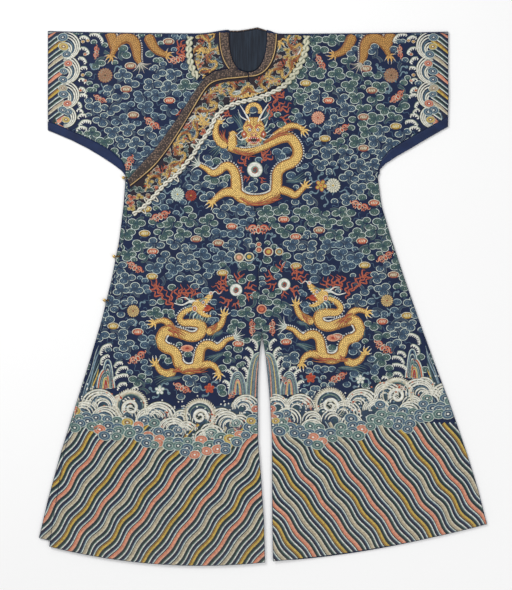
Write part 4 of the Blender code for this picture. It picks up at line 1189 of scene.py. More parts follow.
def lobed(work: Needlework, centres: Array, radii: Array | Sequence[float], facing: Array, kinds: Array,
          lift: float, fine: float = 1.0) -> None:
    """Oval lobes: a filling with a darker rim, an outline, a curl inside it and a bright dot.

    The outline covers 2.3 radians to each side of the way that the lobe faces, and the curl less.

    Args:
        work: takes the shapes.
        centres: (m, 2) millimetres.
        radii: (m, 2) or (2,) along x and y.
        facing: (m,) radians, away from the middle of the cloud.
        kinds: (m,) row numbers of LOBES.
        lift: how far the lobes lie above the cloth.
        fine: a share of the usual line widths.
    """
    level, radii = np.zeros(len(centres)), np.broadcast_to(radii, centres.shape)
    line, fill, heart, curl = LOBES[kinds].swapaxes(0, 1)
    steps = lift + 0.012 * (np.arange(len(centres)) % 12)
    rings = ((1.0, RIM), (0.8, 0.24), (0.62, 0.3), (0.0, 0.32))
    work.discs(centres, radii, level, rings, np.stack([fill, fill, heart, heart], axis=1), 10, lift=steps)
    way = np.arctan2(np.sin(facing) / radii[:, 1], np.cos(facing) / radii[:, 0])[:, None]
    for share, start, end, half, dye, points in ((0.93, -2.3, 2.3, 1.1, line, 12),
                                                 (0.5, -2.2, 1.4, 0.9, curl, 8)):
        path = centres[:, None] + share * radii[:, None] * circle(way + np.linspace(start, end, points))
        work.ribbon(path, half * fine, 0.4, dye[:, None, None], lift=steps[:, None, None])
    dots = np.broadcast_to(2.0 * fine, centres.shape)
    work.discs(centres + np.array([0.6, -0.8]) * fine, dots, level, ((1.0, RIM), (0.0, 0.6)),
               np.repeat(line[:, None], 2, axis=1) * 1.35, sides=6, lift=steps)


def striped(work: Needlework, centres: Array, kinds: Array) -> None:
    """Single ovals that lie level, with an outline and four pale bars across them."""
    lobed(work, centres, (15.4, 8.8), np.full(len(centres), math.pi / 2), kinds, 0.2)
    for step in (-6.6, -2.2, 2.2, 6.6):
        bars = centres[:, None] + np.array([(step - 1.2, -3.4), (step, 0.0), (step + 1.2, 3.4)])
        work.ribbon(bars, np.array([0.8, 1.1, 0.8]), 0.3, flat("cream"), lift=0.7)


@dataclass
class Coverage:
    """What is already sewn, as a mask of small square cells over the robe."""

    cell: float = 3.0
    low: tuple[float, float] = (-620.0, -740.0)
    mask: Array = field(default_factory=lambda: np.zeros((420, 490), dtype=bool))

    def cells(self, points: Array) -> tuple[Array, ...]:
        """The row and column of each point, in millimetres."""
        index = ((points - self.low) / self.cell).astype(int)
        return tuple(np.clip(index, 0, np.array(self.mask.shape) - 1).T)

    def add(self, work: Needlework) -> None:
        """Marks the cells that a piece of needlework touches."""
        self.mask[self.cells(np.concatenate(work.spots)[:, :2])] = True

    def free(self, points: Array, margin: float) -> Array:
        """True where no cell within the margin of a point is marked."""
        reach = np.arange(-margin, margin + 0.1, self.cell)
        ring = np.stack(np.meshgrid(reach, reach), axis=-1)
        ring = ring[np.hypot(ring[..., 0], ring[..., 1]) <= margin]
        near = (points[:, None] + ring).reshape(-1, 2)
        return ~self.mask[self.cells(near)].reshape(len(points), -1).any(axis=1)


# Lone ovals: a row number of LOBES, and places.
OVALS = (
    (3, ((-173, 148), (-116, 138), (146, 171), (339, 55), (268, 591), (283, 534), (261, 465), (261, 384),
         (-355, 537), (-337, 470), (-344, 598))),
    (4, ((374, -51), (-389, -78), (-288, 51), (-105, 60), (86, 78), (264, 80), (111, 553), (345, 441),
         (161, 409))),
    (5, ((310, -66), (-325, -93), (-286, 116), (289, 242), (85, 154), (257, 143), (170, 508), (-243, 508),
         (-81, 181), (54, 199), (60, -119), (-64, -124), (193, -106))),
)
HEAD_LOBES = np.radians((-108, 108, 0))  # the three lobes of a cloud's head, about the way that it is turned


def nearest(points: Array, middles: Array, weights: tuple[float, float]) -> Array:
    """The number of the nearest middle to each point, where distances count by weights along x and y."""
    return np.argmin(((points[:, None] - middles) ** 2 * weights).sum(axis=-1), axis=1)


@dataclass
class Clouds:
    """Clouds of linked lobes, scattered evenly over the ground, and thin wisps between them."""

    finish: bpy.types.Material
    random: np.random.Generator
    sewn: Coverage

    def places(self, low: tuple, high: tuple, spacing: tuple[float, float], loose: float) -> Array:
        """Places in rows that are half a step apart, each moved by up to a share of the spacing."""
        x, y = np.meshgrid(np.arange(low[0], high[0], spacing[0]), np.arange(low[1], high[1], spacing[1]))
        x = x + (np.arange(len(y)) % 2)[:, None] * spacing[0] / 2
        grid = np.c_[x.ravel(), y.ravel()]
        return grid + self.random.uniform(-loose, loose, grid.shape) * spacing

    def wisps(self, work: Needlework, centres: Array) -> None:
        """Thin curly lines in dull blue: x runs evenly and y is a growing sine."""
        t, turn = np.linspace(0, 1, 12), self.random.uniform(-0.9, 0.9, (len(centres), 1))
        x = 26 * (t - 0.5) * np.where(self.random.random((len(centres), 1)) < 0.5, -1, 1)
        y = (2 + 5 * t) * np.sin(9 * t)
        bent = np.dstack([x * np.cos(turn) - y * np.sin(turn), x * np.sin(turn) + y * np.cos(turn)])
        work.ribbon(centres[:, None] + bent, 1.2, 0.25, flat("ink blue ink"))

    def build(self, panel: Panel, low: tuple[float, float], high: tuple[float, float]) -> None:
        """Lays clouds over a rectangle.

        Heads of three lobes stand in loose rows, each turned its own way, and trail a bent stem behind them.
        Heads that are near one another share their colours, and a few heads are a single warm oval instead.
        """
        work, random = Needlework(f"{panel.name} clouds"), self.random
        heads = self.places(low, high, (47.0, 29.5), 0.17)
        middles = self.places(low, high, (104.0, 74.0), 0.2)
        kinds = random.choice(3, len(middles), p=(0.4, 0.38, 0.22))
        kind = kinds[nearest(heads, middles, (1.0, 1.8))]
        apart = self.places(low, high, (33.0, 27.0), 0.25)
        self.wisps(work, apart[self.sewn.free(apart, 7)])
        alone = random.random(len(heads)) < 0.03
        warm = heads[alone]
        warm = warm[self.sewn.free(warm, 15)]
        heads, kind = heads[~alone], kind[~alone]
        turn = np.radians(random.choice((90, 60, 125, -90, -55, 20, 160), len(heads))
                          + random.uniform(-18, 18, len(heads)))[:, None]
        angle = turn + math.pi + 1.6 * np.linspace(0, 1, 9) ** 2 * np.where(np.cos(turn) > 0, 1, -1)
        steps = circle(angle) * (1.0, 0.8) * 3.9
        stems = heads[:, None] + np.cumsum(steps, axis=1) - steps[:, :1]
        edge, fill = LOBES[kind, 0] * 0.5, LOBES[kind, 1]
        clear = self.sewn.free(heads, 7)
        dyes = np.stack([edge, fill, fill, edge], axis=1)[clear, None]
        work.ribbon(stems[clear], np.linspace(5.2, 2.4, 9), 0.3, dyes, (-1, -0.6, 0.6, 1))
        facing = (turn + HEAD_LOBES).ravel()
        reach = circle(facing) * (12.6, 8.8)
        reach[0::3][random.random(len(heads)) < 0.3] *= 1.5
        size = random.uniform(0.86, 1.14, (len(facing), 1)) * (11.4, 8.2)
        centres, kind = np.repeat(heads, 3, axis=0) + reach, np.repeat(kind, 3)
        clear = self.sewn.free(centres, 6.2)
        lobed(work, centres[clear], size[clear], facing[clear], kind[clear], 0.05)
        striped(work, warm, random.choice((3, 3, 4), len(warm)))
        full = Coverage(mask=self.sewn.mask.copy())
        full.add(work)
        gaps = self.places(low, high, (11.0, 9.0), 0.3)
        gaps = gaps[full.free(gaps, 6.4)]
        gaps = gaps[np.unique((gaps // (21.0, 16.0)).astype(int), axis=0, return_index=True)[1]]
        size = random.uniform(0.8, 1.1, (len(gaps), 1)) * (9.0, 6.6)
        facing = np.radians(random.uniform(40, 140, len(gaps)))
        lobed(work, gaps, size, facing, kinds[nearest(gaps, middles, (1.0, 1.0))], 0.05)
        work.lay(panel, self.finish)


# ---------------------------------------------------------------- motifs


@dataclass(frozen=True)
class Place:
    """Where a motif lies: its own drawing is scaled, mirrored, turned and then moved."""

    x: float = 0.0
    y: float = 0.0
    turn: float = 0.0
    scale: float = 1.0
    flip: bool = False

    def to(self, points: Array | Sequence) -> Array:
        """Moves points (..., 2) from the motif's drawing to the robe."""
        points = np.asarray(points, float) * self.scale * (-1.0 if self.flip else 1.0, 1.0)
        turned = math.radians(self.turn)
        cos, sin = math.cos(turned), math.sin(turned)
        x, y = points[..., 0], points[..., 1]
        return np.stack([self.x + x * cos - y * sin, self.y + x * sin + y * cos], axis=-1)

    def at(self, point: Sequence[float], turn: float = 0.0, scale: float = 1.0) -> "Place":
        """An unmirrored place at a point of this drawing, turned as its mirror image asks."""
        return Place(*self.to(point), -turn if self.flip else turn, scale)


def arc(centre: Sequence[float], radius: float, start: float, end: float, steps: int = 20,
        squash: float = 1.0) -> Array:
    """Points on an arc: centre + radius * (cos a, squash * sin a), a in degrees from start to end."""
    return np.asarray(centre, float) + radius * rays(np.linspace(start, end, steps)) * (1.0, squash)


def spiral(centre: Sequence[float], radius: float, start: float, turns: float, steps: int = 48) -> Array:
    """Points on a spiral whose radius shrinks evenly to a fifth."""
    t = np.linspace(0, 1, steps)
    return np.asarray(centre, float) + (radius * (1 - 0.8 * t))[:, None] * rays(start + 360 * turns * t)


def comb(work: Needlework, path: Array, spacing: float, length: float, width: float, dye: str, side: int = 1,
         lift: float = 0.0, reach: Array | float = 0.0, curl: float = 0.6) -> None:
    """Small curved teeth in a row along a path, on its left (1) or right (-1) side."""
    count = max(3, int(length_of(path) / spacing))
    roots = resampled(path, count, smooth=False)
    out = normals_of(roots) * side
    along = np.stack([out[:, 1], -out[:, 0]], axis=-1) * side
    reach = np.interp(np.linspace(0, 1, count), np.linspace(0, 1, np.size(reach)), np.ravel(reach))[:, None]
    teeth(work, roots + out * reach, along, out, length, width, dye, lift, curl)


def teeth(work: Needlework, roots: Array, along: Array, out: Array, length: float, width: float, dye: str,
          lift: float = 0.0, curl: float = 0.6) -> None:
    """Small curved points, each from its root outwards and then along the path.

    A tooth's middle line is root + out * length * s + along * length * curl * s^2, s from 0 to 1.
    """
    s = np.array([0.0, 0.5, 1.0])[None, :, None]
    path = roots[:, None] + out[:, None] * (length * s) + along[:, None] * (length * curl * s**2)
    work.ribbon(path, width / 2 * np.array([1.0, 0.7, 0.12]), 0.4, flat(dye), lift=lift)


def spots(work: Needlework, here: Place, centres: Sequence, radii: Sequence[float] | float, dyes: str,
          shares: Sequence[float], height: float, lift: float = 0.0, sides: int = 14, lobes: int = 0,
          depth: float = 0.0, turn: float = 0.0) -> None:
    """Round spots made of flat rings: each dye starts at its share of the radius and ends at the next."""
    centres = here.to(np.atleast_2d(centres))
    radii = np.broadcast_to(np.asarray(radii, float) * here.scale, (len(centres), 2))
    colours = dye_array(dyes)
    rings = [(1.0, RIM)]
    for outer, inner in zip(shares, (*shares[1:], 0.0)):
        rings += [(outer * 0.96, height * (1 - 0.5 * outer**2)), (inner, height * (1 - 0.5 * inner**2))]
    work.discs(centres, radii, np.full(len(centres), math.radians(turn)), rings,
               np.concatenate([colours[:1], np.repeat(colours, 2, axis=0)]), sides, lobes, depth, lift)


# ---------------------------------------------------------------- dragons

# Across a scaly tube: deep gold edges that blend into gold, partly the dragon's brown outline and partly
# painted shade that rounds the tube.
SCALE_ACROSS = (-1.0, -0.9, -0.78, -0.7, -0.45, 0.0, 0.45, 0.78, 0.92, 1.0)
SCALE_CROWN = (0.0, 0.35, 0.6, 0.7, 0.88, 1.0, 0.88, 0.62, 0.35, 0.0)
SCALE_DYES = "deep_gold deep_gold deep_gold gold gold gold gold gold deep_gold deep_gold"


@dataclass(frozen=True)
class Limb:
    """A leg: its middle line from the body to the paw, and which way its toes point, if it has any."""

    line: tuple
    toes: float | None
    half_width: float = 9.0


@dataclass(frozen=True)
class DragonShape:
    """A dragon's plan: middle line from neck to tail, half widths along it, limbs and its spine.

    The spine lies on the left (1) or right (-1), and changes sides at the share spine_turn.
    """

    body: tuple
    half_widths: tuple
    limbs: tuple[Limb, ...]
    spine: int = 1
    spine_turn: float = 2.0
    licks: tuple = ()
    plumes: tuple = ()
    fine: float = 1.0


@dataclass
class Dragon:
    """One five-clawed dragon in couched gold, with its pale spine, mane, horns and claws."""

    shape: DragonShape
    place: Place
    scales: Needlework
    threads: Needlework

    def build(self) -> None:
        """Builds the body and the limbs."""
        self.body()
        for limb in self.shape.limbs:
            self.limb(limb)

    def scaly(self, path: Array, half: Array | float, height: float, lift: float) -> None:
        """A scaly tube: gold between deeper edges, which are partly the dragon's brown outline and partly
        painted shade that rounds the tube.
        """
        self.scales.ribbon(path, half, height, flat(SCALE_DYES), SCALE_ACROSS, lift, SCALE_CROWN)

    def body(self) -> None:
        """The body: a pale outline, points along the belly and the spine, and the scaly tube above them."""
        shape, fine = self.shape, self.shape.fine
        raw = self.place.to(shape.body)
        path = resampled(raw, int(length_of(raw) / 4.0))
        half = np.interp(np.linspace(0, 1, len(path)), *np.transpose(shape.half_widths)) * self.place.scale
        spine = shape.spine * (-1 if self.place.flip else 1)
        change = min(len(path), int(len(path) * shape.spine_turn))
        facing = np.where(np.arange(len(path)) < change, spine, -spine)[:, None, None] > 0
        edges = np.where(facing, flat("deep_gold deep deep"), flat("deep deep deep_gold"))
        self.threads.ribbon(path, half + 1.7 * fine, 0.4, edges, lift=0.15)
        for way, spacing, length, width, dye, gap in ((-spine, 3.6, 3.2, 2.0, "deep_gold", -0.6),
                                                      (spine, 4.6, 3.6, 3.9, "pearl", 1.2)):
            for side, part in ((way, slice(0, change)), (-way, slice(change, None))):
                if len(path[part]) > 3:
                    comb(self.threads, path[part], spacing * fine, length * fine, width * fine, dye,
                         side, 0.2, half[part] + gap * fine)
        self.scaly(path, half, 1.25, 0.25)
        self.tuft(self.place_at(path[-1], math.degrees(math.atan2(*(path[-1] - path[-4])[::-1]))))
        for lick in shape.licks:
            self.strokes(lick, 4, 2.3, "brick orange yellow", 1.6)
        for plume in shape.plumes:
            self.strokes(plume, 5, 2.4, "teal blue sage", 0.12)

    def place_at(self, point: Array, turn: float) -> Place:
        """A place of the dragon's own size, for what stands out from its body."""
        return Place(*point, turn, self.place.scale)

    def strokes(self, line: Sequence, count: int, half_width: float, dyes: str, lift: float) -> None:
        """Curved tapering strokes that fan out: stroke k starts later, is moved sideways and bends away."""
        half_width *= self.shape.fine
        edge, *inner = dyes.split()
        t = np.linspace(0, 1, 14)
        for k in range(count):
            away = (k - (count - 1) / 2) * half_width * self.place.scale
            path = resampled(self.place.to(line), 14)
            bend = away * (0.9 + 1.5 * t ** 2) + 1.5 * self.shape.fine * np.sin(5 * t + k)
            path = (path + normals_of(path) * bend[:, None])[k // 2:]
            half = np.interp(np.linspace(0, 1, len(path)), (0, 0.3, 1), (0.4, 1.25, 0.2)) * half_width
            dye = inner[k % len(inner)]
            self.threads.ribbon(path, half * self.place.scale, 0.4,
                                flat(f"{edge} {edge} {dye} {edge} {edge}"),
                                (-1, -0.45, 0, 0.45, 1), lift + 0.02 * k)

    def tuft(self, here: Place) -> None:
        """The tail's tuft: strands that fan out, white with teal between."""
        for k, spread in enumerate(np.linspace(-62, 62, 9)):
            dye, length = (("pearl", 30), ("sage", 24))[k % 2]
            tip = rays(spread) * length
            self.strand(here, [(0, 0), tip * 0.5 + (3.0, 0.0), tip], 1.9, dye, 0.3 + 0.02 * k, 0.3 / 1.9,
                        count=7)

    def limb(self, limb: Limb) -> None:
        """A leg that narrows to the wrist, with points along both sides, and a paw with five claws."""
        fine, path = self.shape.fine, resampled(self.place.to(limb.line), 26)
        end = (0.5, 0.5) if limb.toes is not None else (0.8, 0.15)
        half = np.interp(np.linspace(0, 1, 26), (0, 0.1, 0.3, 0.7, 0.9, 1), (0.45, 1.0, 0.95, 0.64, *end))
        half = half * limb.half_width * self.place.scale
        self.threads.ribbon(path, half + 1.3 * fine, 0.4, flat("deep_gold"), lift=0.2)
        for side in (-1, 1):
            comb(self.threads, path, 3.6 * fine, 3.0 * fine, 2.0 * fine, "deep_gold", side, 0.2,
                 half - 0.4 * fine)
        self.scaly(path, half, 1.15, 0.5)
        if limb.toes is not None:
            turn = 180 - limb.toes if self.place.flip else limb.toes
            self.paw(self.place_at(path[-1], turn + self.place.turn))

    def paw(self, here: Place) -> None:
        """A round palm and five curved toes, each with a white nail."""
        spots(self.threads, here, (1.0, 0.0), 5.6, "deep_gold gold", (1.0, 0.8), 0.9, lift=0.6)
        for spread, length in ((-78, 11), (-38, 14), (0, 15), (38, 14), (100, 11)):
            run = rays(spread)
            side = np.array([-run[1], run[0]]) * math.copysign(1, spread or 1)
            tip = run * length - side * 0.6
            toe = [run * 2, run * length * 0.62 + side * 1.6, tip]
            self.strand(here, toe, 2.4, "gold", 0.7, 0.625, 0.8, 8)
            nail = [tip - run, tip + run * 4 - side * 1.0, tip + run * 6.5 - side * 4.2]
            self.strand(here, nail, 1.4, "pearl", 0.8, 1 / 7, 0.5, 6)

    def strand(self, here: Place, points: Sequence, width: float, dyes: str, lift: float, tip: float = 0.2,
               height: float = 0.6, count: int = 12) -> None:
        """A tapering strand through points of a part's own drawing; tip is a share of its width."""
        path, half = resampled(here.to(points), count), np.linspace(width, width * tip, count) * here.scale
        self.threads.ribbon(path, half, height, flat(dyes), lift=lift)

    def mane(self, here: Place, fans: Sequence[tuple[float, float, float, int]]) -> None:
        """Fans of long strands: each has a middle angle, a spread, a length and a strand count."""
        for middle, spread, length, count in fans:
            for k, angle in enumerate(np.linspace(middle - spread, middle + spread, count)):
                tip = rays(angle + (14 if k % 2 else -14)) * (14 + length)
                dye = ("teal", "sage", "blue", "pale")[k % 4]
                line = [rays(angle) * 14, rays(angle) * (14 + length * 0.55), tip]
                self.strand(here, line, 2.4, dye, 0.3 + 0.03 * (k % 3))

    def eye(self, here: Place, x: float, y: float) -> None:
        """A round eye: red rim, white and a dark pupil."""
        spots(self.threads, here, (x, y), 4.6, "red pearl deep", (1.0, 0.78, 0.42), 0.8, lift=1.9, sides=12)

    def front_head(self, here: Place) -> None:
        """The face seen from the front: brow, eyes, nose, open mouth and a ring of mane."""
        self.mane(here, ((200, 44, 26, 12), (-20, 44, 26, 12), (90, 34, 14, 7)))
        for side in (-1, 1):
            for line, width, lift, tip in (
                (((8, 20), (20, 42), (33, 62)), 2.6, 1.0, 0.3),
                (((14, 24), (30, 34), (36, 50)), 1.6, 1.0, 0.2),
                (((14, -14), (30, -20), (44, -6), (52, -16)), 1.5, 1.2, 0.2),
            ):
                self.strand(here, np.array(line) * (side, 1), width, "pearl", lift, tip)
        self.scaly(resampled(here.to(arc((0, 46), 15, -25, 205)), 28), 5.0 * here.scale, 1.1, 0.5)
        spots(self.scales, here, (0, 8), (24, 25), "deep_gold gold", (1.0, 0.94), 1.1, 0.6, 30, 6, 0.05)
        spots(self.threads, here, [(-22, -7), (22, -7)], (6.5, 9), "deep_gold brick flame pearl",
              (1.0, 0.85, 0.55, 0.25), 0.9, 0.9, 16, 4, 0.12)
        spots(self.scales, here, (0, -18), (19, 15), "deep_gold gold", (1.0, 0.92), 1.2, 0.7, 24, 4, 0.04)
        for x in (-13, -7, 0, 7, 13):
            self.strand(here, [(x, 14), (x * 1.15, 22), (x * 1.1, 30)], 1.3, "deep_gold", 1.6, 0.4, 0.3)
        for side in (-1, 1):
            brow = [(3 * side, 7), (10 * side, 14), (20 * side, 10)]
            self.strand(here, brow, 2.6, "brick flame brick", 1.6, 0.4)
            self.eye(here, 9.0 * side, 3)
            for shift in (0, 4, 8):
                cheek = [(16 * side, -24 + shift), (22 * side, -30 + shift), (29 * side, -27 + 1.5 * shift)]
                self.strand(here, cheek, 1.7, "teal sage teal", 0.6)
        spots(self.threads, here, (0, -8), (8.5, 5.5), "deep_gold pink gold", (1.0, 0.85, 0.5), 1.0, 1.7)
        spots(self.threads, here, [(-4, -9), (4, -9)], 1.7, "brown", (1.0,), 0.3, 2.6, 8)
        spots(self.threads, here, (0, -20.5), (14.5, 8.6), "salmon red brown", (1.0, 0.86, 0.5), 0.6, 1.9, 20,
              4, 0.05)
        xs, down = np.linspace(-9, 9, 5), np.tile([0.0, -1.0], (5, 1))
        for level, way in ((-15.0, 1), (-26.5, -1)):
            roots = here.to(np.c_[xs, np.full(5, level)])
            teeth(self.threads, roots, down[:, ::-1] * way, down * way, 3.4 * here.scale, 2.6 * here.scale,
                  "pearl", 2.3)
        for x in np.linspace(-14, 14, 8):
            self.strand(here, [(x * 0.8, -25), (x, -31), (x * 1.25, -37)], 1.6, "cream", 1.2)

    def side_head(self, here: Place) -> None:
        """The head seen from the side, facing along +X with its mouth open."""
        s = here.scale
        self.mane(here, ((190, 58, 24, 14), (255, 18, 16, 5)))
        self.strand(here, [(-6, 12), (-24, 12), (-42, 4), (-60, 8)], 2.8, "pearl", 1.2, 0.3)
        self.strand(here, [(-24, 12), (-34, 20), (-46, 20)], 1.9, "pearl", 1.2, 0.3)
        self.strand(here, [(20, 26), (30, 34), (38, 28), (46, 34)], 1.3, "pearl", 1.0)
        spots(self.threads, here, (9, -3), (15, 9), "brown red", (1.0, 0.85), 0.5, 0.7)
        self.strand(here, [(4, -6), (14, -8), (23, -2), (28, -6)], 2.4, "orange", 1.2, 0.3)
        for points, widths in (
            ([(-8, 6), (4, 10), (14, 18), (21, 27), (20, 33)], (11, 10, 7.5, 6, 3)),
            ([(-8, -4), (2, -15), (12, -20), (21, -20)], (8, 6, 4.5, 2)),
        ):
            half = np.interp(np.linspace(0, 1, 20), np.linspace(0, 1, len(widths)), widths) * s
            self.scaly(resampled(here.to(points), 20), half, 1.2, 0.8)
        spots(self.scales, here, (-6, 3), (15, 14), "deep_gold gold", (1.0, 0.92), 1.2, 0.9, 20)
        spots(self.threads, here, (21, 30), (5, 4.4), "pearl pink", (1.0, 0.6), 0.9, 1.6)
        flipped = -1 if here.flip else 1
        for jaw, length, side in (([(6, 2), (12, 8), (18, 16)], 4.5, -flipped),
                                  ([(4, -12), (11, -16), (19, -17)], 4.0, flipped)):
            comb(self.threads, here.to(jaw), 4.5 * s, length * s, 2.6 * s, "pearl", side, 1.6)
        self.strand(here, [(-4, 12), (4, 18), (12, 18)], 3.0, "teal sage teal", 1.9, 0.4)
        self.eye(here, 4, 10)
        spots(self.threads, here, (-15, -4), (5.5, 7), "pearl orange gold", (1.0, 0.8, 0.4), 0.8, 1.5, 14, 5,
              0.1)
        for x in (-2, 4, 10, 16):
            self.strand(here, [(x, -22), (x - 2, -29), (x - 7, -35)], 1.7, "sage", 0.8)


# ---------------------------------------------------------------- small figures

# A bat's right wing: crescents from their root to their tip, and the half width of each.
BAT_WING = (
    (((2, 3), (7, 8), (13, 8.5), (18, 5), (20.5, 0.5), (24, 1), (24.5, 5.5)), 2.3),
    (((4, -1), (5.5, 3.5), (9, 4), (10.5, 0), (9.5, -2.5)), 2.1),
    (((11.5, -1), (12.5, 3), (15.5, 3), (16.5, -1), (15, -4)), 1.9),
    (((3, -5), (6.5, -3.5), (9, -6), (8, -9)), 1.8), (((10.5, -5), (13, -5), (13.5, -8)), 1.5),
)


@dataclass(frozen=True)
class Swirl:
    """Small things that float among the clouds, drawn about their own middle."""

    threads: Needlework

    def pearl(self, here: Place, radius: float) -> None:
        """The flaming pearl: white with a red curl."""
        spots(self.threads, here, (0, 0), radius, "sage pearl pearl sage moss", (1.0, 0.93, 0.56, 0.5, 0.3),
              0.9, 0.3, 28)
        curl = spiral((0, 0), radius * 0.5, 200, 1.1, 26) * (0.8, 1.0)
        self.threads.ribbon(resampled(here.to(curl), 26), np.linspace(1.0, 2.2, 26), 0.3,
                            flat("brick red brick"), lift=1.15)

    def flame(self, here: Place, length: float) -> None:
        """A red tongue that sways 4 mm to each side every 18 mm, with a shorter one on each side."""
        t = np.linspace(0, 1, 22)
        scale = min(1.0, length / 34)
        for reach, start, away in ((1.0, 0.0, 0.0), (0.62, 0.2, 11.5), (0.5, 0.42, -11.5)):
            x = (start + reach * t) * length * (1 if start == 0 else 0.9)
            sway = 3.6 * np.sin(2 * math.pi * x / 18 + 5 * start)
            y = (away * ease(2.6 * t) + sway) * scale
            half = np.interp(t, (0, 0.4, 1), (1.5, 2.1, 0.6)) * scale
            self.threads.ribbon(here.to(np.stack([x, y], axis=-1)), half, 0.4,
                                flat("red flame brick flame red"), (-1, -0.62, 0, 0.62, 1), 0.35)

    def bat(self, here: Place) -> None:
        """A bat: each wing is a row of crescents, pale along the outer edge, with a tip that turns up."""
        for line, half in BAT_WING:
            path = resampled(np.array(line, float), 10)
            width = here.scale * half * np.interp(np.linspace(0, 1, 10), (0, 0.5, 1), (0.6, 1, 0.5))
            for side in (-1, 1):
                dyes = flat("cream flame red")[:, ::-side if here.flip else side]
                self.threads.ribbon(here.to(path * (side, 1)), width, 0.6, dyes, (-1, -0.25, 1), 0.5)
        spots(self.threads, here, (0, -1), (4.6, 7.4), "cream red orange", (1.0, 0.74, 0.3), 0.8, 0.8, 12,
              turn=here.turn)
        spots(self.threads, here, (0, 7.0), 2.8, "cream brick", (1.0, 0.6), 0.7, 1.0, 10)

    def flower(self, here: Place, radius: float, dyes: str) -> None:
        """A round flower of three rings of oval petals: their dark edge, the petals and a small heart."""
        edge, petal, heart = dyes.split()
        spots(self.threads, here, (0, 0), radius * 0.8, edge, (1.0,), 0.2, 0.25, 20)
        rings = ((17, 0.80, 0.24, 0.165), (12, 0.52, 0.21, 0.145), (7, 0.25, 0.17, 0.13))
        for row, (count, place, long, broad) in enumerate(rings):
            turn = here.turn + np.arange(count) * 360 / count + 11 * row
            self.threads.discs(here.to(radius / here.scale * place * rays(turn)),
                               np.tile([long, broad], (count, 1)) * radius, np.radians(turn),
                               ((1.0, RIM), (0.66, 0.4), (0.0, 0.5)), dye_array(f"{edge} {petal} {petal}"), 8,
                               lift=0.3 + 0.28 * row)
        spots(self.threads, here, (0, 0), radius * 0.14, heart, (1.0,), 0.4, 1.2, 8)

    def streamer(self, here: Place, length: float) -> None:
        """A thin ribbon that trails from a flower or an emblem: its heading sways, then turns into a curl."""
        t = np.linspace(0, 1, 24)
        heading = 1.1 * np.sin(7.5 * t) + 12 * np.clip(t - 0.62, 0, None)
        path = np.cumsum(rays(np.degrees(heading)), axis=0) * length * 1.6 / len(t)
        self.threads.ribbon(here.to(path), np.interp(t, (0, 0.4, 1), (1.3, 2.4, 1.5)), 0.4,
                            flat("teal sky teal"), lift=0.2)

    def scrolls(self, middle: Sequence[float], radius: float, turns: Sequence[float], length: float) -> None:
        """Curly streamers all round a flower."""
        for k, turn in enumerate(turns):
            x, y = np.asarray(middle) + radius * rays(turn)
            self.streamer(Place(x, y, turn, flip=k % 2 == 1), length)

    def emblem(self, here: Place, dyes: str) -> None:
        """A small emblem: a middle spot, five leaves about it and trailing ribbons."""
        edge, fill, _ = dyes.split()
        for k in range(5):
            turn = here.turn + 72 * k + 18
            spots(self.threads, Place(here.x, here.y, turn, here.scale), (7.5, 0), (6.0, 4.8),
                  f"{edge} {fill}", (1.0, 0.7), 0.5, 0.3 + 0.03 * k, 12, turn=turn)
        spots(self.threads, here, (0, 0), 5.6, dyes, (1.0, 0.8, 0.4), 0.6, 0.6, 14)
        for turn in (25, 155, 215, 325):
            self.streamer(Place(here.x, here.y, here.turn + turn, here.scale), 30)


# ---------------------------------------------------------------- plans of the large figures

CHEST_DRAGON = DragonShape(
    body=((-90, 387), (-56, 376), (-26, 378), (6, 389), (30, 402), (52, 411),
          (71, 411), (88, 389), (90, 365), (77, 348), (52, 337), (37, 320),
          (35, 290), (30, 266), (9, 253), (-22, 249), (-47, 253), (-67, 268),
          (-69, 294), (-73, 320), (-86, 337), (-101, 337), (-116, 324), (-132, 320),
          (-147, 331), (-164, 340)),
    half_widths=((0, 8), (0.15, 7.5), (0.26, 12), (0.75, 13.5), (0.85, 10.5), (0.93, 8), (1, 3.5)),
    limbs=(
        Limb(((-93, 388), (-112, 400), (-122, 419), (-122, 441), (-115, 453)), 55, 10.0),
        Limb(((-79, 387), (-80, 403), (-77, 428)), None, 12.5),
        Limb(((24, 408), (50, 428), (71, 442), (93, 440), (104, 430)), -35, 9.5),
        Limb(((-68, 268), (-96, 270), (-117, 258), (-133, 243)), 235, 11.0),
        Limb(((42, 278), (67, 270), (84, 262), (101, 277), (110, 286)), 55, 9.5),
    ),
    spine_turn=0.40,
    licks=(((0, 398), (24, 410), (52, 424), (80, 428)), ((-92, 398), (-104, 412), (-108, 430)),
           ((-60, 257), (-30, 240), (0, 243), (28, 254)), ((-78, 382), (-50, 370), (-20, 372)),
           ((8, 247), (30, 252), (44, 262))),
    plumes=(((-53, 432), (-60, 450), (-72, 474)), ((2, 448), (10, 466), (24, 486)),
            ((-88, 403), (-110, 388), (-136, 366)),
            ((-46, 400), (-66, 396), (-76, 402)), ((60, 300), (84, 300), (112, 312))),
)
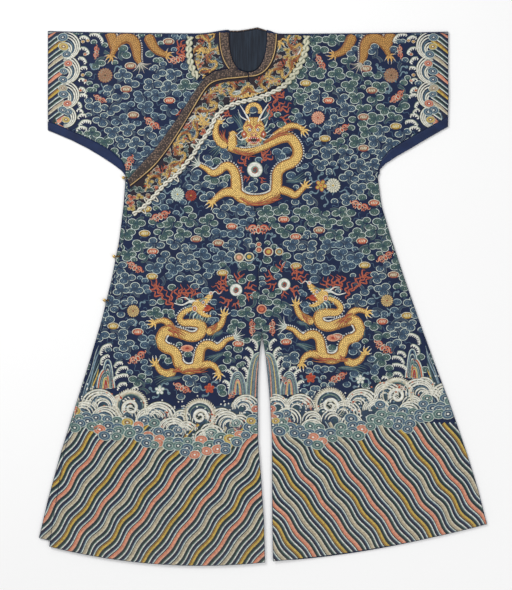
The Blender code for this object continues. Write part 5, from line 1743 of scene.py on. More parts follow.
SKIRT_DRAGON = DragonShape(
    body=((-184, -33), (-197, -37), (-209, -45), (-217, -58), (-208, -70), (-184, -70), (-165, -73),
          (-158, -86), (-167, -101), (-187, -106), (-212, -98), (-236, -91), (-254, -91), (-264, -105),
          (-266, -120), (-254, -134), (-236, -140), (-224, -153), (-220, -173), (-208, -186), (-191, -190),
          (-173, -183), (-167, -164), (-163, -141), (-153, -128), (-137, -126),
          (-120, -134), (-107, -126), (-95, -114), (-76, -108)),
    half_widths=((0, 5.5), (0.1, 7.5), (0.2, 11.5), (0.75, 12.5), (0.87, 9.5), (0.95, 5.5), (1, 3.5)),
    limbs=(
        Limb(((-234, -89), (-247, -69), (-262, -63), (-276, -66), (-284, -70)), 195, 8.5),
        Limb(((-146, -96), (-123, -84), (-109, -72), (-102, -56), (-101, -48)), 85, 10.0),
        Limb(((-228, -194), (-248, -202), (-267, -193), (-275, -181), (-280, -175)), 115, 9.5),
        Limb(((-166, -183), (-140, -177), (-125, -184), (-116, -196), (-114, -203)), 245, 9.0),
    ),
    spine=-1,
    spine_turn=0.42,
    licks=(((-249, -74), (-235, -79), (-221, -92), (-205, -108)), ((-246, -86), (-232, -92), (-222, -102)),
           ((-208, -196), (-190, -192), (-170, -194), (-146, -186)), ((-118, -72), (-126, -84), (-140, -92)),
           ((-236, -196), (-222, -192), (-208, -188))),
    plumes=(((-104, -91), (-116, -98), (-128, -97), (-141, -110)),
            ((-101, -150), (-116, -155), (-130, -162), (-146, -171)),
            ((-211, -212), (-236, -214), (-258, -214), (-281, -224)),
            ((-280, -112), (-272, -122), (-268, -132))),
)
SHOULDER_DRAGON = DragonShape(
    body=((-398, 684), (-391, 668), (-386, 650), (-380, 658), (-367, 668), (-351, 671), (-336, 663),
          (-329, 645), (-326, 621), (-320, 606)),
    half_widths=((0, 12), (0.7, 13), (0.9, 9), (1, 5)),
    limbs=(
        Limb(((-386, 656), (-388, 638), (-395, 623)), 250, 8.5),
        Limb(((-300, 678), (-286, 650), (-270, 634), (-250, 626)), -10, 12.5),
    ),
)
COLLAR_DRAGON = DragonShape(
    body=((-34, 8), (-22, 16), (-8, 12), (-4, 0), (-12, -9), (-4, -16), (10, -12), (16, 0), (28, 4),
          (38, -4)),
    half_widths=((0, 2.2), (0.4, 3.1), (0.8, 2.4), (1, 0.9)),
    limbs=(
        Limb(((-16, 15), (-20, 26), (-12, 32)), 40, 2.2),
        Limb(((12, -12), (22, -20), (30, -18)), 20, 2.2),
    ),
    licks=(((-14, 14), (-6, 10), (2, 0)), ((8, -12), (18, -8), (28, 2))),
    fine=0.42,
)


# ---------------------------------------------------------------- waves, rocks and foam


def between(work: Needlework, upper: Array, lower: Array, dye: str, height: float, steps: int = 3) -> None:
    """Fills the field between two lines of equal length with one colour."""
    plan = lower[:, None] + (upper - lower)[:, None] * np.linspace(0, 1, steps)[None, :, None]
    quads = grid_faces(len(upper), steps)
    tris = np.concatenate([quads[:, [0, 1, 2]], quads[:, [0, 2, 3]]])
    points = np.dstack([plan, np.full(plan.shape[:2], height)]).reshape(-1, 3)
    work.add(points, tris, np.tile(dye_array(dye), (len(points), 1)), plan.reshape(-1, 2)[:, ::-1])


@dataclass(frozen=True)
class Sea:
    """Breaking waves between the ground and the hem's stripes: crests, curls, foam and lobes."""

    threads: Needlework
    random: np.random.Generator

    def crest(self, x: float, y: float, radius: float, lean: float = 0.0, lift: float = 0.4,
              step: float = 6.2, way: float = 1.0, core: bool = True, count: int = 12) -> None:
        """A hump of cream bands with dark lines between, crowded at the foot on one side.

        Arc k has the radius r - step * k, and its centre moves by 0.36 * step * k towards that side.
        """
        rings = np.arange(radius, radius * 0.2, -step)[:count]
        numbers = np.arange(len(rings))
        turned = rays(lean) * way * 0.36 * step
        ends = (lean - 6, lean + 186)
        paths = np.stack([arc((x, y) + turned * k, rings[k], *ends, 20, 0.94) for k in numbers])
        if core:
            spots(self.threads, Place(), (x, y) + turned * len(rings), radius * 0.34, "ink teal", (1.0, 0.6),
                  0.3, lift)
        dyes = np.where((numbers % 4 == 3)[:, None, None, None], flat("deep deep teal blue sky"),
                        flat("pine pine cream pearl pearl"))
        half = step * 0.52 * np.interp(np.linspace(0, 1, 20), (0, 0.3, 0.7, 1), (0.45, 1, 1, 0.45))
        self.threads.ribbon(paths, half, 0.5, dyes, (-1.0, -0.48, -0.34, 0.4, 1.0), lift,
                            (0.0, 0.3, 0.8, 1.0, 0.0))

    def curl(self, x: float, y: float, radius: float, flip: bool, lift: float) -> None:
        """A breaking curl: a cream fringe, a dark blue back, and a thick white spiral inside."""
        side = -1 if flip else 1
        place = Place(x, y, flip=flip)
        outer = resampled(place.to(arc((0, 0), radius, 235, -25, 30)), 30)
        comb(self.threads, outer, 4.8, 5.6, 4.4, "cream", side, lift, 3.0)
        wide = np.interp(np.linspace(0, 1, 30), (0, 0.5, 1), (1.5, 5.6, 2.4))
        self.threads.ribbon(outer, wide, 0.5, flat("stone cream pearl"), lift=lift)
        self.threads.ribbon(offset(outer, -side * 8.0), wide * 0.8, 0.4, flat("ink teal sage"), lift=lift)
        spots(self.threads, Place(), (x, y), radius * 0.62, "ink pine", (1.0, 0.8), 0.2, lift - 0.1, 20)
        white = place.to(spiral((0, -radius * 0.12), radius * 0.55, 200, -1.45, 44))
        self.threads.ribbon(white, np.linspace(5.4, 2.6, 44), 0.6, flat("pine pearl pearl cream pine"),
                            (-1, -0.75, 0, 0.75, 1), lift + 0.1)

    def foam(self, start: Array, end: Array, side: int) -> None:
        """A curled crest of foam from foot to tip: a cream back that bulges, and round teeth under it."""
        run = end - start
        out = np.array([-run[1], run[0]]) * side
        back = resampled(np.stack([start, start + 0.4 * run + 0.24 * out, start + 0.8 * run + 0.16 * out,
                                   start + run]), 14)
        self.threads.ribbon(offset(back, 2.4 * side), 0.9, 0.35, flat("sage"), lift=0.3)
        self.threads.ribbon(back, np.interp(np.linspace(0, 1, 14), (0, 0.7, 1), (1.0, 2.3, 1.8)), 0.5,
                            flat("cream pearl cream"), lift=0.35)
        comb(self.threads, back, 5.2, 5.6, 4.6, "pearl", -side, 0.4, 1.0, 0.3)

    def lobes(self, centres: Array, radius: float, lift: float) -> None:
        """Oval lobes with an eye: mostly blue and green, a few pink, red and yellow."""
        kinds = self.random.choice(5, len(centres), p=[0.47, 0.36, 0.08, 0.03, 0.06])
        for kind, dyes in enumerate(("blue ink", "green moss", "salmon salmon", "salmon orange",
                                     "yellow ochre")):
            mine = centres[kinds == kind]
            if len(mine):
                lifts = lift + 0.02 * np.argsort(np.argsort(-mine[:, 1])) / max(1, len(mine))
                self.eyed(mine, radius, dyes, lifts)

    def eyed(self, centres: Array, radius: float, dyes: str, lifts: Array | float) -> None:
        """Lays lobes of nearly one size, each with an outline, a filling, a ring, a field and a dot."""
        fill, dark = dyes.split()
        shares = (1.0, 0.96, 0.90, 0.85, 0.76, 0.58, 0.50, 0.42, 0.20, 0.16, 0.0)
        rise = (RIM, 0.40, 0.42, 0.38, 0.42, 0.42, 0.42, 0.38, 0.42, 0.5, 0.5)
        colours = dye_array(f"foam foam foam {dark} {fill} {fill} foam {dark} {dark} pearl pearl")
        colours[6] = colours[6] * 0.6 + colours[4] * 0.4
        radii = radius * self.random.uniform(0.82, 1.12, (len(centres), 1)) * np.array([1.18, 0.86])
        self.threads.discs(centres, radii, self.random.uniform(-0.25, 0.25, len(centres)),
                           tuple(zip(shares, rise)), colours, lift=lifts)

    def band(self, top: Array, bottom: Array, crests: Sequence, curls: Sequence) -> None:
        """The whole band on one half: a dark ground, small crests, the large ones, curls, lobes and spray."""
        xs = np.linspace(min(top[0, 0], bottom[0, 0]), max(top[-1, 0], bottom[-1, 0]), 50)
        random = self.random
        up, low = at(top, xs), at(bottom, xs)
        between(self.threads, np.c_[xs, up - 6], np.c_[xs, low + 14], "ink", 0.42)
        for row, rise in enumerate((88, 60)):
            for x in np.arange(xs[0] + 20 * row, xs[-1], 52):
                y = float(np.interp(x, xs, low)) + rise
                if y < np.interp(x, xs, up) - 24:
                    self.crest(x, y, random.uniform(22, 28), random.uniform(-25, 25), 0.5 + 0.06 * row,
                               way=random.choice((-1, 1)))
        for k, (x, y, r, lean) in enumerate(crests):
            self.crest(x, y, r, lean, 0.62 - 0.0008 * y, way=-1 if k % 3 else 1)
        for curl in curls:
            self.curl(*curl, lift=0.9)
        x, share = random.uniform(xs[0], xs[-1], 170), random.uniform(0.25, 1.0, 170)
        specks = np.c_[x, np.interp(x, xs, low) * (1 - share) + np.interp(x, xs, up) * share]
        for k, dye in enumerate(("pearl", "foam", "sky", "salmon", "pearl")):
            spots(self.threads, Place(), specks[k::5], (2.8, 2.1), dye, (1.0,), 0.4, 1.05, 7)
        for row, (rise, step) in enumerate(((58, 30), (42, 27), (28, 26), (14, 25), (3, 26))):
            places = np.arange(xs[0] + 9 * row, xs[-1], step)
            if row < 2:
                places = places[random.random(len(places)) < (0.35, 0.7)[row]]
            if row == 4:
                places = places[np.sin(places / 17) > -0.3]
            places = places + random.uniform(-4, 4, len(places))
            ys = np.interp(places, xs, low) + rise + random.uniform(-4, 4, len(places))
            self.lobes(np.c_[places, ys], 14.8, 0.95 + 0.1 * row)
        spray = random.uniform((xs[0], -40), (xs[-1], 14), (90, 2))
        spray[:, 1] += np.interp(spray[:, 0], xs, up)
        spots(self.threads, Place(), spray, 2.2, "pearl", (1.0,), 0.4, 0.5, 7)

    def rock(self, place: Array, width: float, height: float, dyes: str, lift: float = 0.4,
             power: float = 2.6) -> None:
        """A steep rock: arches one inside another, each a flat-sided curve with a round top."""
        t = np.linspace(-1, 1, 25)
        profile = np.stack([t, (1 - np.abs(t) ** power) ** 0.8], axis=-1)
        names = dyes.split()
        for k, dye in enumerate(names):
            share = 1 - k / len(names)
            path = place + profile * (width / 2 * share, height * (share + 0.06 * k))
            self.threads.ribbon(path, width / (2.1 * len(names)), 0.4, flat(f"deep {dye} {dye} foam foam"),
                                (-1, -0.7, 0.1, 0.3, 1), lift + 0.05 * k)

    def bands(self, path: Array, dyes: str, pitch: float, side: int, lift: float = 0.35) -> None:
        """Narrow bands side by side along a path, like the layers of a cliff."""
        for k, dye in enumerate(dyes.split()):
            line = offset(path, side * pitch * (k + 0.5))[:int(len(path) * (1 - 0.1 * k))]
            sway = 1.2 * np.sin(np.linspace(0, 9, len(line)) + k)
            half = pitch * 0.5 * np.interp(np.linspace(0, 1, len(line)), (0, 0.85, 1), (1, 1, 0.2))
            self.threads.ribbon(line + normals_of(line) * sway[:, None], half, 0.3,
                                flat(f"deep {dye} {'foam' if k % 3 == 0 else dye}"), lift=lift)


# The band of waves on each half, in millimetres: its top, its bottom, crests (x, y, radius, lean) and curls
# (x, y, radius, flip).
SEA_RIGHT = (
    np.array(((-481, -234), (-445, -239), (-390, -255), (-341, -252), (-304, -281), (-273, -273),
              (-234, -289),
              (-192, -281), (-161, -270), (-125, -281), (-88, -273), (-49, -252), (-3, -255)), float),
    np.array(((-523, -333), (-502, -338), (-408, -364), (-341, -372), (-255, -400), (-151, -416), (-88, -400),
              (-3, -346)), float),
    ((-426, -286, 46, 0), (-465, -307, 34, 10), (-408, -322, 38, -12), (-364, -348, 34, 0),
     (-296, -322, 34, 20), (-268, -315, 42, -5), (-234, -348, 34, -12), (-198, -348, 24, 0),
     (-130, -364, 30, 15), (-96, -333, 36, -8),
     (-44, -291, 36, 0), (-60, -333, 26, 10), (-153, -369, 24, 0)),
    ((-343, -286, 37, False), (-164, -309, 36, True)),
)
SEA_LEFT = (
    np.array(((3, -260), (31, -260), (133, -252), (182, -242), (216, -263), (265, -239), (317, -221),
              (380, -218), (413, -208), (455, -218), (491, -224)), float),
    np.array(((3, -341), (23, -346), (112, -380), (164, -390), (211, -364), (265, -364), (317, -333),
              (380, -346), (421, -322), (491, -304), (538, -291)), float),
    ((29, -291, 38, 0), (65, -322, 34, -10), (96, -291, 38, 8), (127, -348, 30, 0), (216, -307, 38, -10),
     (257, -281, 42, 0), (231, -333, 28, 12), (299, -296, 30, -8), (325, -260, 36, 8), (403, -255, 42, 0),
     (439, -276, 34, -12), (382, -302, 30, 10), (471, -260, 34, 0)),
    ((174, -281, 36, True), (348, -255, 37, False)),
)


# ---------------------------------------------------------------- the whole needlework


@dataclass(frozen=True)
class CollarFace(Panel):
    """The dark silk collar: what shows between the neck bands or piping and the white border."""

    def clip(self, x: Array, y: Array) -> tuple[Array, Array]:
        """The collar's needlework is cut off by whole small triangles, and not moved."""
        return x, y

    def top(self, x: Array, y: Array) -> Array:
        """The upper face of the collar silk."""
        return self.underside(x, y) + WALL + TRIM_GAP + COLLAR_SILK

    def covered(self, x: Array, y: Array) -> Array:
        """True outside the collar: over the bands, the border or the robe's own cloth."""
        across = np.abs(x - NECK_X) / (NECK_HALF_WIDTH + BAND_SIDE + 0.006)
        down = np.clip((NECK_Y - y) / (NECK_DEPTH + BAND_FRONT + 0.006), 0, None)
        free = (across**NECK_SQUARENESS + down**NECK_SQUARENESS > 1) & (y < shoulder_y(x) - 0.003)
        if self.side == LEFT:
            free &= y > np.interp(x, BORDER_LINE[::-1, 0], BORDER_LINE[::-1, 1] + 0.009, right=1.0)
            free &= (x > PIPING_LINE[0, 0]) | (y < at(PIPING_LINE[::-1], x) - 0.009)
        else:
            free &= (x > at(BORDER_RIGHT_LINE[::-1, ::-1], y) + 0.008) & (x < NECK_X)
            free &= y > at(OVERLAP_CUT[:, ::-1], x) + 0.004
        return ~free


COLLAR_PANEL = CollarFace("collar", LEFT, body_front, LEFT_OUTLINE, 0, 0)
COLLAR_RIGHT_PANEL = CollarFace("right collar", RIGHT, first_front, RIGHT_OUTLINE, 0, 0)


def mirror(s: int) -> Place:
    """The skirt's drawing, made for the right half: as it is there, and mirrored on the left."""
    return Place() if s == RIGHT else Place(-15, 27, flip=True)


# Small figures in millimetres, right half first: they are mirrored onto the left.
CHEST_FLAMES = (
    (-42, 338, 120, 34), (-36, 354, 80, 30), (-3, 346, 50, 38), (3, 359, 85, 30), (-34, 312, 215, 22),
    (-10, 307, -35, 22), (-49, 322, 150, 22), (18, 458, 75, 62), (34, 478, 30, 46), (29, 499, 65, 48),
    (44, 463, -15, 30), (23, 520, 35, 40), (-81, 468, 150, 28), (-91, 478, 200, 24),
)
SKIRT_FLAMES = (
    (-231, -34, 115, 60), (-257, -8, 125, 50), (-268, 16, 140, 34), (-221, -10, 75, 42), (-200, -10, 80, 40),
    (-185, -5, 60, 30), (-91, 16, 165, 44), (-91, 26, 130, 36), (-81, -8, 200, 34), (-65, -10, 250, 26),
    (-65, 36, 80, 30), (-47, 18, 20, 32), (-49, 8, -35, 28),
)
SHOULDER_FLAMES = ((-205, 614, 100, 50), (-221, 640, 60, 30), (-226, 468, 20, 26))
# Columns: x, y, turn, scale.
SKIRT_BATS = (
    (-325, -161, 35, 1.1), (-211, -240, -25, 1.0), (-369, -263, 30, 0.8), (-75, -252, 50, 0.8),
    (-133, -307, 70, 0.7),
    (-250, -302, 80, 0.7), (-73, -348, 30, 0.8), (-266, 206, 20, 1.1), (-333, 73, -30, 1.0),
)
CENTRE_STREAMERS = (
    (-50, 118, 100), (-30, 142, 60), (2, 146, 20), (-24, 90, -80), (4, 96, -50), (30, 100, -95),
    (-48, 84, -130), (24, 132, 60), (-8, 70, -60), (-60, 72, -20),
)
CENTRE_FRUITS = (
    (-11, 134, 6.5, "cream brick salmon"), (-11, 120, 8, "cream brick salmon"),
    (-62, 100, 12, "cream tan pink"), (-36, 102, 12, "cream moss yellow"),
    (14, 115, 12, "cream brick yellow"), (42, 115, 10, "cream ochre sage"),
    (-3.5, -34, 12, "pink brick flame"),
)
# Foam from its foot to its tip: x, y, x, y.
SIDE_FOAM = (
    (-423, -152, -394, -126), (-421, -178, -401, -154), (-386, -184, -365, -173), (-382, -203, -351, -186),
    (-397, -238, -351, -205), (-378, -238, -354, -228), (-341, -246, -325, -238),
)
VENT_FOAM = (
    (-17, -141, -30, -112), (-28, -160, -42, -134), (-37, -184, -47, -158), (-43, -214, -50, -186),
    (-66, -196, -84, -186), (-80, -214, -94, -192), (-87, -238, -102, -220),
)
CUFF_FOAM = (
    (-475, 645, -453, 629), (-479, 619, -460, 605), (-476, 541, -461, 527), (-482, 518, -457, 518),
    (-485, 504, -473, 489), (-483, 484, -468, 475), (-482, 463, -460, 469), (-479, 443, -447, 452),
    (-485, 432, -458, 434), (-450, 680, -416, 660), (-476, 671, -453, 666), (-478, 585, -458, 593),
    (-478, 562, -461, 556),
)
CUFF_LOBES = (
    (-520, 672, "blue ink"), (-518, 648, "yellow ochre"), (-510, 628, "blue ink"), (-506, 604, "salmon red"),
    (-518, 584, "blue ink"), (-519, 562, "blue ink"), (-520, 540, "stone tan"), (-518, 524, "blue ink"),
    (-508, 500, "salmon red"), (-520, 483, "blue ink"), (-506, 478, "blue ink"), (-512, 458, "yellow ochre"),
)
CUFF_DOTS = (
    (-462, 628, "salmon"), (-462, 559, "salmon"), (-474, 534, "orange"), (-468, 661, "yellow"),
    (-455, 664, "yellow"), (-468, 574, "yellow"),
)
ALL_ROUND = (30, 90, 150, 210, 270, 330)
AGED = (0.6, 0.47, 0.42)


@dataclass
class Embroidery:
    """Everything sewn on the robe besides clouds and stripes."""

    thread: bpy.types.Material
    scale: bpy.types.Material
    random: np.random.Generator
    sewn: Coverage

    def lay(self, work: Needlework, panel: Panel) -> None:
        """Marks a piece of needlework as sewn, and lays it on its panel."""
        self.sewn.add(work)
        work.lay(panel, self.thread)

    def dragon(self, name: str, shape: DragonShape, place: Place, panel: Panel, head: Place | None = None,
               tone: tuple[float, float, float] = (1.0, 1.0, 1.0)) -> None:
        """Lays one dragon as two pieces: its scales and its threads."""
        scales, threads = Needlework(f"{name} scales"), Needlework(f"{name} threads")
        made = Dragon(shape, place, scales, threads)
        made.build()
        if head is not None:
            (made.front_head if panel is BODY_PANEL else made.side_head)(head)
        self.sewn.add(threads)
        self.sewn.add(scales)
        scales.dyes = [dyes * tone for dyes in scales.dyes]
        threads.dyes = [dyes * np.sqrt(tone) for dyes in threads.dyes]
        threads.lay(panel, self.thread)
        scales.lay(panel, self.scale)

    def dragons(self) -> None:
        """The chest's dragon, one on each side of the skirt and the two that cross the shoulders."""
        self.dragon("chest dragon", CHEST_DRAGON, Place(), BODY_PANEL, Place(-24, 428, scale=1.14))
        for name, panel, s in (("right", OVERLAP_PANEL, RIGHT), ("left", LEFT_PANEL, LEFT)):
            place = mirror(s)
            head = Place(*place.to((-160, -28)), scale=1.18, flip=place.flip)
            self.dragon(f"{name} skirt dragon", SKIRT_DRAGON, place, panel, head)
        for name, panel, place in (("right", RIGHT_PANEL, Place()),
                                   ("left", LEFT_PANEL, Place(-66, 0, flip=True))):
            self.dragon(f"{name} shoulder dragon", SHOULDER_DRAGON, place, panel, tone=AGED)

    def sea(self) -> None:
        """The breaking waves, with rocks beside the vent and the sides."""
        for panel, plan, crests, curls, s in (
            (OVERLAP_PANEL, SEA_RIGHT, 13, 2, RIGHT), (LEFT_PANEL, SEA_LEFT, 13, 2, LEFT),
            (RIGHT_PANEL, SEA_RIGHT, 2, 0, RIGHT),
        ):
            work = Needlework(f"{panel.name} breaking waves")
            sea = Sea(work, self.random)
            self.rocks(sea, s)
            sea.band(plan[0], plan[1], plan[2][:crests], plan[3][:curls])
            self.lay(work, panel)

    def rocks(self, sea: Sea, s: int) -> None:
        """Cliffs, rocks and foam on one half: round the vent and beside the side edge."""
        place = mirror(s)
        middle = Place() if s == RIGHT else Place(2, 0, flip=True)
        edge = np.linspace(-262, -128, 30)
        outline = OVERLAP_OUTLINE if s == RIGHT else LEFT_OUTLINE
        sea.bands(np.c_[at(outline, edge * MM) / MM - 4 * s, edge], "blue sky teal green yellow blue", 4.4, s)
        for x, y, width, height, dyes in (
            (-403, -237, 27, 70, "blue ink green salmon"),
            (-408, -239, 42, 47, "orange teal green yellow red"), (-412, -241, 25, 25, "blue sky salmon"),
        ):
            sea.rock(place.to((x, y)), width, height, dyes)
        sea.rock(middle.to((-66, -256)), 44, 58, "blue ink green ink salmon yellow blue")
        peak = "green ink blue yellow ink blue teal salmon ink blue moss ink green teal"
        sea.rock(np.array([1, -262]), 88, 114, peak, 0.6, 4.0)
        for x, y, x1, y1 in SIDE_FOAM:
            sea.foam(place.to((x, y)), place.to((x1, y1)), -s if x < x1 else s)
        for x, y, x1, y1 in VENT_FOAM:
            sea.foam(middle.to((x, y)), middle.to((x1, y1)), s)
        for x, y, dyes in ((-19, -293, "salmon red"), (-31, -324, "yellow ochre")):
            sea.eyed(middle.to([(x, y)]), 11.5, dyes, 1.3)

    def sleeves(self) -> None:
        """The two sleeve ends: slanting stripes, lobes and crests that face the body."""
        for panel, s, place in ((RIGHT_PANEL, RIGHT, Place()), (LEFT_PANEL, LEFT, Place(-77, 0, flip=True))):
            work = Needlework(f"{panel.name} sleeve waves")
            sea, swirl = Sea(work, self.random), Swirl(work)
            for k in range(20):
                y = 436 + 13.3 * k
                path = place.to([(-516, y + 30), (-540, y + 14), (-564, y - 2)])
                work.ribbon(path, 5.6, 0.35, stripe_dyes(k)[None, ::-s], -s * STRIPE_ACROSS[::-s],
                            crown=STRIPE_CROWN[::-s])
            for x, y, r in ((-514, 650, 38), (-516, 588, 40), (-516, 522, 38), (-516, 466, 30)):
                sea.crest(*place.to((x, y)), r, 90 * s, 0.6, 5.2, way=-s, core=False, count=6)
            for x, y, dyes in CUFF_LOBES:
                sea.eyed(place.to([(x, y)]), 11.5, dyes, 0.9)
            for x, y, x1, y1 in CUFF_FOAM:
                sea.foam(place.to((x, y)), place.to((x1, y1)), -s)
            for x, y, dye in CUFF_DOTS:
                spots(work, place, (x, y), (5.4, 4.4), f"cream brick {dye}", (1.0, 0.72, 0.45), 0.5, 0.3, 8)
            for x, y, turn in ((-432, 634, 84), (-424, 511, -28)):
                swirl.bat(place.at((x, y), turn, 0.75))
            heart = place.at((-410, 573))
            swirl.flower(heart, 19, "brick tan umber")
            swirl.scrolls((heart.x, heart.y), 21, (20, 75, 135, 190, 245, 300), 30)
            self.lay(work, panel)

    def ovals(self, swirl: Swirl, low: tuple[float, float], high: tuple[float, float]) -> None:
        """Lone pale, yellow and red ovals: those of the list that lie in a rectangle."""
        for kind, places in OVALS:
            inside = np.array(places, float)
            inside = inside[((inside > low) & (inside < high)).all(axis=1)]
            if len(inside):
                striped(swirl.threads, inside, np.full(len(inside), kind))

    def small_things(self) -> None:
        """Pearls, flames, bats, flowers and emblems over the ground."""
        panels = (BODY_PANEL, LEFT_PANEL, OVERLAP_PANEL, RIGHT_PANEL)
        works = [Needlework(f"{panel.name} small figures") for panel in panels]
        on_body, on_left, on_over, on_right = (Swirl(work) for work in works)
        self.centre(on_body)
        for swirl, s in ((on_over, RIGHT), (on_left, LEFT)):
            self.skirt(swirl, s)
        on_over.flower(Place(-222, 264), 18, "moss foam yellow")
        on_over.flower(Place(-187, 261), 15, "brown red yellow")
        on_over.scrolls((-206, 262), 30, (70, 110, 160, 200, 255, 295, 0), 28)
        on_left.flower(Place(182, 287), 19, "green cream yellow")
        on_left.emblem(Place(151, 287, 45, 1.25), "brick yellow orange")
        on_left.scrolls((172, 286), 28, (60, 100, 150, 215, 250, 290, 330), 30)
        on_left.flower(Place(143, 463), 17, "brick pink red")
        on_left.scrolls((143, 463), 18, ALL_ROUND, 26)
        on_left.scrolls((335, 567), 18, (10, 70, 130, 190, 250, 310), 26)
        for x, y, turn in ((205, 432, 30), (148, 607, -60), (350, 518, 40)):
            on_left.bat(Place(x, y, turn, 0.9))
        self.ovals(on_left, (3, -600), (500, 700))
        self.ovals(on_over, (-500, -600), (3, 350))
        self.ovals(on_right, (-500, 350), (3, 700))
        for x, y, turn in ((-289, 447, -35), (-348, 343, 60), (-221, 614, 20)):
            on_right.bat(Place(x, y, turn))
        for x, y, turn, length in SHOULDER_FLAMES:
            on_right.flame(Place(x, y, turn), length)
        for work, panel in zip(works, panels):
            self.lay(work, panel)

    def centre(self, swirl: Swirl) -> None:
        """What is sewn across the centre seam: a pearl with its flames, fruits, streamers and three bats."""
        swirl.pearl(Place(-21, 328), 20.5)
        for x, y, turn, length in CHEST_FLAMES:
            swirl.flame(Place(x, y, turn), length)
        for x, y, turn in CENTRE_STREAMERS:
            swirl.streamer(Place(x, y, turn, flip=turn < 0), 30)
        for x, y, radius, dyes in CENTRE_FRUITS:
            spots(swirl.threads, Place(), (x, y), (radius * 1.1, radius), dyes, (1.0, 0.8, 0.45), 0.5, 0.4)
        for place in (Place(-12, 172, scale=1.3), Place(-27, -82, 90, 0.85), Place(23, -82, -90, 0.85)):
            swirl.bat(place)
        seam = np.linspace(64, -2, 12)
        swirl.threads.ribbon(np.c_[seam_x(seam * MM) / MM, seam], 1.9, 0.15, flat("deep navy deep"))

    def skirt(self, swirl: Swirl, s: int) -> None:
        """One side of the skirt: a pearl with its flames, bats, two emblems, a flower and an oval."""
        place = mirror(s)
        for x, y, turn, length in SKIRT_FLAMES:
            swirl.flame(Place(*place.to((x, y)), 180 - turn if place.flip else turn), length)
        swirl.pearl(place.at((-70, 16 if s == RIGHT else 3)), 16.5)
        for x, y, turn, size in SKIRT_BATS:
            swirl.bat(place.at((x, y), turn, size))
        swirl.emblem(place.at((-139, -240)), "orange red red")
        swirl.emblem(place.at((-268, -244)), "sage pearl cream")
        bloom = place.at((-337, -39))
        swirl.flower(bloom, 16, "umber straw brick")
        swirl.scrolls((bloom.x, bloom.y), 17, ALL_ROUND, 24)
        spots(swirl.threads, place, (-197, -136), (17, 9), "pink salmon red", (1.0, 0.75, 0.3), 0.5, 0.4)

    def collar(self) -> None:
        """Small gold dragons among clouds and flames on the collar's dark ground."""
        for panel, dragons, low, high in (
            (COLLAR_PANEL, ((-265, 308, 40, 1.15), (-222, 365, 60, 1.2), (-190, 425, 62, 1.25),
                            (-140, 500, 35, 1.25),
                            (-70, 538, 0, 1.25), (-10, 545, 10, 1.3), (52, 588, 50, 1.3),
                            (82, 640, 85, 1.25)),
             (-345, 225), (105, 690)),
            (COLLAR_RIGHT_PANEL, ((-158, 650, 80, 1.3), (-140, 605, 50, 1.2)), (-185, 565), (-110, 690)),
        ):
            threads, scales = Needlework(f"{panel.name} threads"), Needlework(f"{panel.name} scales")
            grid = np.meshgrid(np.arange(low[0], high[0], 24.0), np.arange(low[1], high[1], 18.0))
            heads = np.stack(grid, axis=-1).reshape(-1, 2)
            heads = heads + self.random.uniform(-5, 5, heads.shape)
            heads = heads[~panel.covered(heads[:, 0] * MM, heads[:, 1] * MM)]
            facing = (self.random.uniform(0, 6.3, (len(heads), 1)) + HEAD_LOBES).ravel()
            centres = np.repeat(heads, 3, axis=0) + circle(facing) * (6.6, 5.0)
            kinds = np.repeat(self.random.choice(6, len(heads), p=(0.1, 0.36, 0.06, 0.14, 0.22, 0.12)), 3)
            lobed(threads, centres, (6.0, 4.6), facing, kinds, 0.05, 0.62)
            for k, (x, y, turn, size) in enumerate(dragons):
                place = Place(x, y, turn, size, flip=k % 2 == 1)
                made = Dragon(COLLAR_DRAGON, place, scales, threads)
                made.build()
                made.side_head(Place(*place.to((-36, 4)), turn=turn + 150, scale=0.34 * size,
                                     flip=place.flip))
                for lean, rise in ((40, 14), (130, 14), (250, -14)):
                    Swirl(threads).flame(Place(x + 6, y + rise, turn + lean), 22)
            for work, tone, finish in ((threads, 0.8, self.thread), (scales, 0.72, self.scale)):
                work.dyes = [dyes * tone for dyes in work.dyes]
                work.lay(panel, finish, "collar_silk")


# ---------------------------------------------------------------- what each cloth was cut to


@dataclass(frozen=True)
class Cut:
    """The flat size of one piece of cloth, in metres, and how it is held."""

    node: str
    width: float
    length: float
    area: float
    held: str = "laid"
    rests_on: tuple[str, ...] = ()
    panels: tuple[Panel, ...] = ()

    def declare(self, pieces: dict[str, bpy.types.Object]) -> None:
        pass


CUTS = (
    Cut("left_length", 0.621, 2.776, 1.20, "folded", (), (LEFT_PANEL, BODY_PANEL)),
    Cut("right_length", 0.585, 2.773, 1.24, "folded", (), (RIGHT_PANEL,)),
    Cut("overlap_front", 0.561, 1.292, 0.503, "laid", ("right_length",), (OVERLAP_PANEL,)),
    Cut("left_gusset", 0.070, 0.240, 0.010, "folded"),
    Cut("right_gusset", 0.076, 0.246, 0.011, "folded"),
    Cut("neck_lining", 0.096, 0.112, 0.0087, "laid", ("left_length", "right_length")),
    Cut("back_neck_binding", 0.010, 0.100, 0.0004, "laid", ("left_length", "right_length")),
    Cut("neck_band_left", 0.024, 0.147, 0.0027, "laid", ("left_length",)),
    Cut("neck_band_right", 0.024, 0.099, 0.0022, "laid", ("right_length",)),
    Cut("overlap_band", 0.024, 0.453, 0.0098, "laid", ("overlap_front",)),
    Cut("collar_left", 0.140, 0.165, 0.0108, "laid", ("left_length",)),
    Cut("collar_right", 0.094, 0.115, 0.0072, "laid", ("right_length",), (COLLAR_RIGHT_PANEL,)),
    Cut("collar_overlap", 0.100, 0.520, 0.0247, "laid", ("overlap_front",), (COLLAR_PANEL,)),
)


# ---------------------------------------------------------------- the studio


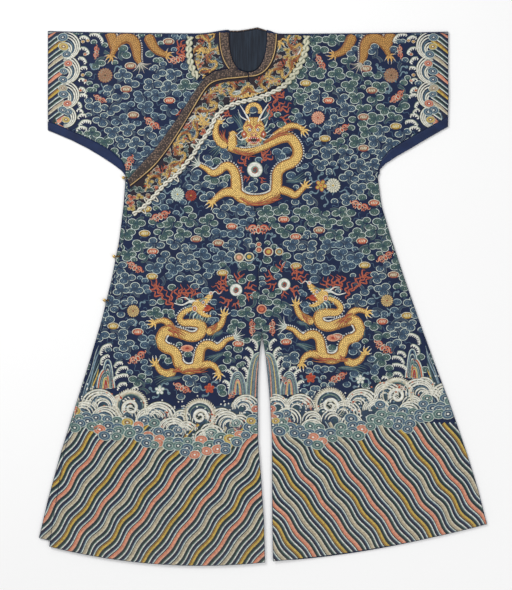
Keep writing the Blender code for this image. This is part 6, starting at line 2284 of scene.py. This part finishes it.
@dataclass
class Studio:
    """A pale floor, soft lights and a camera straight above the robe."""

    centre: tuple[float, float] = (-0.0182, 0.0026)
    distance: float = 4.262

    def build(self) -> None:
        """Sets the floor, the lights, the world's light and the camera."""
        scene = bpy.context.scene
        scene.view_settings.view_transform = "Standard"
        bpy.ops.mesh.primitive_plane_add(size=14, location=(0, 0, -0.0012))
        floor = bpy.context.object
        floor.name = "floor"
        paper = Nodes("floor paper").finish(Base_Color=(0.97, 0.97, 0.97, 1), Roughness=0.9)
        floor.data.materials.append(paper)
        world = bpy.data.worlds.new("soft room")
        world.use_nodes = True
        world.node_tree.nodes["Background"].inputs["Color"].default_value = (1, 1, 1, 1)
        world.node_tree.nodes["Background"].inputs["Strength"].default_value = 0.55
        scene.world = world
        self.lamp("key light", (-1.9, 2.0, 2.3), 1.4, 62)
        self.lamp("fill light", (1.8, -1.4, 3.0), 2.6, 34)
        camera = bpy.data.cameras.new("camera")
        camera.lens, camera.sensor_width = 100, 36
        camera.clip_start, camera.clip_end = 0.1, 50
        stand = bpy.data.objects.new("camera", camera)
        stand.location = (*self.centre, self.distance)
        scene.collection.objects.link(stand)
        scene.camera = stand

    def lamp(self, name: str, place: tuple[float, float, float], size: float, power: float) -> None:
        """A square soft light that looks at the robe's middle."""
        light = bpy.data.lights.new(name, "AREA")
        light.size, light.energy = size, power
        stand = bpy.data.objects.new(name, light)
        stand.location = place
        x, y, z = -place[0], -place[1], -place[2]
        stand.rotation_euler = (math.atan2(math.hypot(x, y), -z), 0.0, math.atan2(y, x) - math.pi / 2)
        bpy.context.scene.collection.objects.link(stand)


def main() -> None:
    """Builds the robe's pieces from the cloth up, then the studio."""
    logging.basicConfig(level=logging.INFO, format="%(message)s")
    finishes = {
        "navy_silk": WovenSilk("navy robe silk", Thread.DEEP, Thread.NAVY).make(),
        "plain_silk": WovenSilk("plain navy silk", Thread.DEEP, Thread.PLAIN, roughness=0.5).make(),
        "lining": Lining("lining silk", Thread.LINING, Thread.FADED).make(),
        "collar_silk": WovenSilk("dark collar silk", Thread.DEEP, Thread.BROWN).make(),
        "brocade": Brocade("brocade", Thread.BROWN, Thread.MOTIF).make(),
        "gold_cord": WovenSilk("gold cord", Thread.TAN, Thread.STRAW, roughness=0.5).make(),
        "white_cord": Stitches("white cord", stitch_mm=1.5, depth=0.9, shade=0.34, brightness=1.0).make(),
        "loop_cord": WovenSilk("loop cord", Thread.BROWN, Thread.UMBER).make(),
        "gilt_brass": Nodes("gilt brass").finish(Base_Color=(0.62, 0.42, 0.16, 1), Metallic=1, Roughness=0.3),
    }
    thread = Stitches("silk thread").make()
    scale = Stitches("couched gold", roughness=0.42, stitch_mm=6.4, depth=0.9, shade=0.6, lattice=True,
                     brightness=0.96).make()

    cloth, trims = Cloth(finishes), Trims(finishes)
    cloth.build()
    trims.build()
    random = np.random.default_rng(7)
    stripes = Stripes(thread)
    stripes.build(LEFT_PANEL, 0, 590)
    stripes.build(OVERLAP_PANEL, -590, 0)
    stripes.build(RIGHT_PANEL, -600, -450)
    sewn = Coverage()
    work = Embroidery(thread, scale, random, sewn)
    work.sea()
    work.sleeves()
    work.small_things()
    work.dragons()
    work.collar()
    clouds = Clouds(thread, random, sewn)
    clouds.build(LEFT_PANEL, (-40, -250), (440, 690))
    clouds.build(OVERLAP_PANEL, (-490, -250), (0, 575))
    clouds.build(RIGHT_PANEL, (-510, -250), (-60, 690))
    for cut in CUTS:
        cut.declare(cloth.made | trims.made)
    Studio().build()


if __name__ == "__main__":
    main()
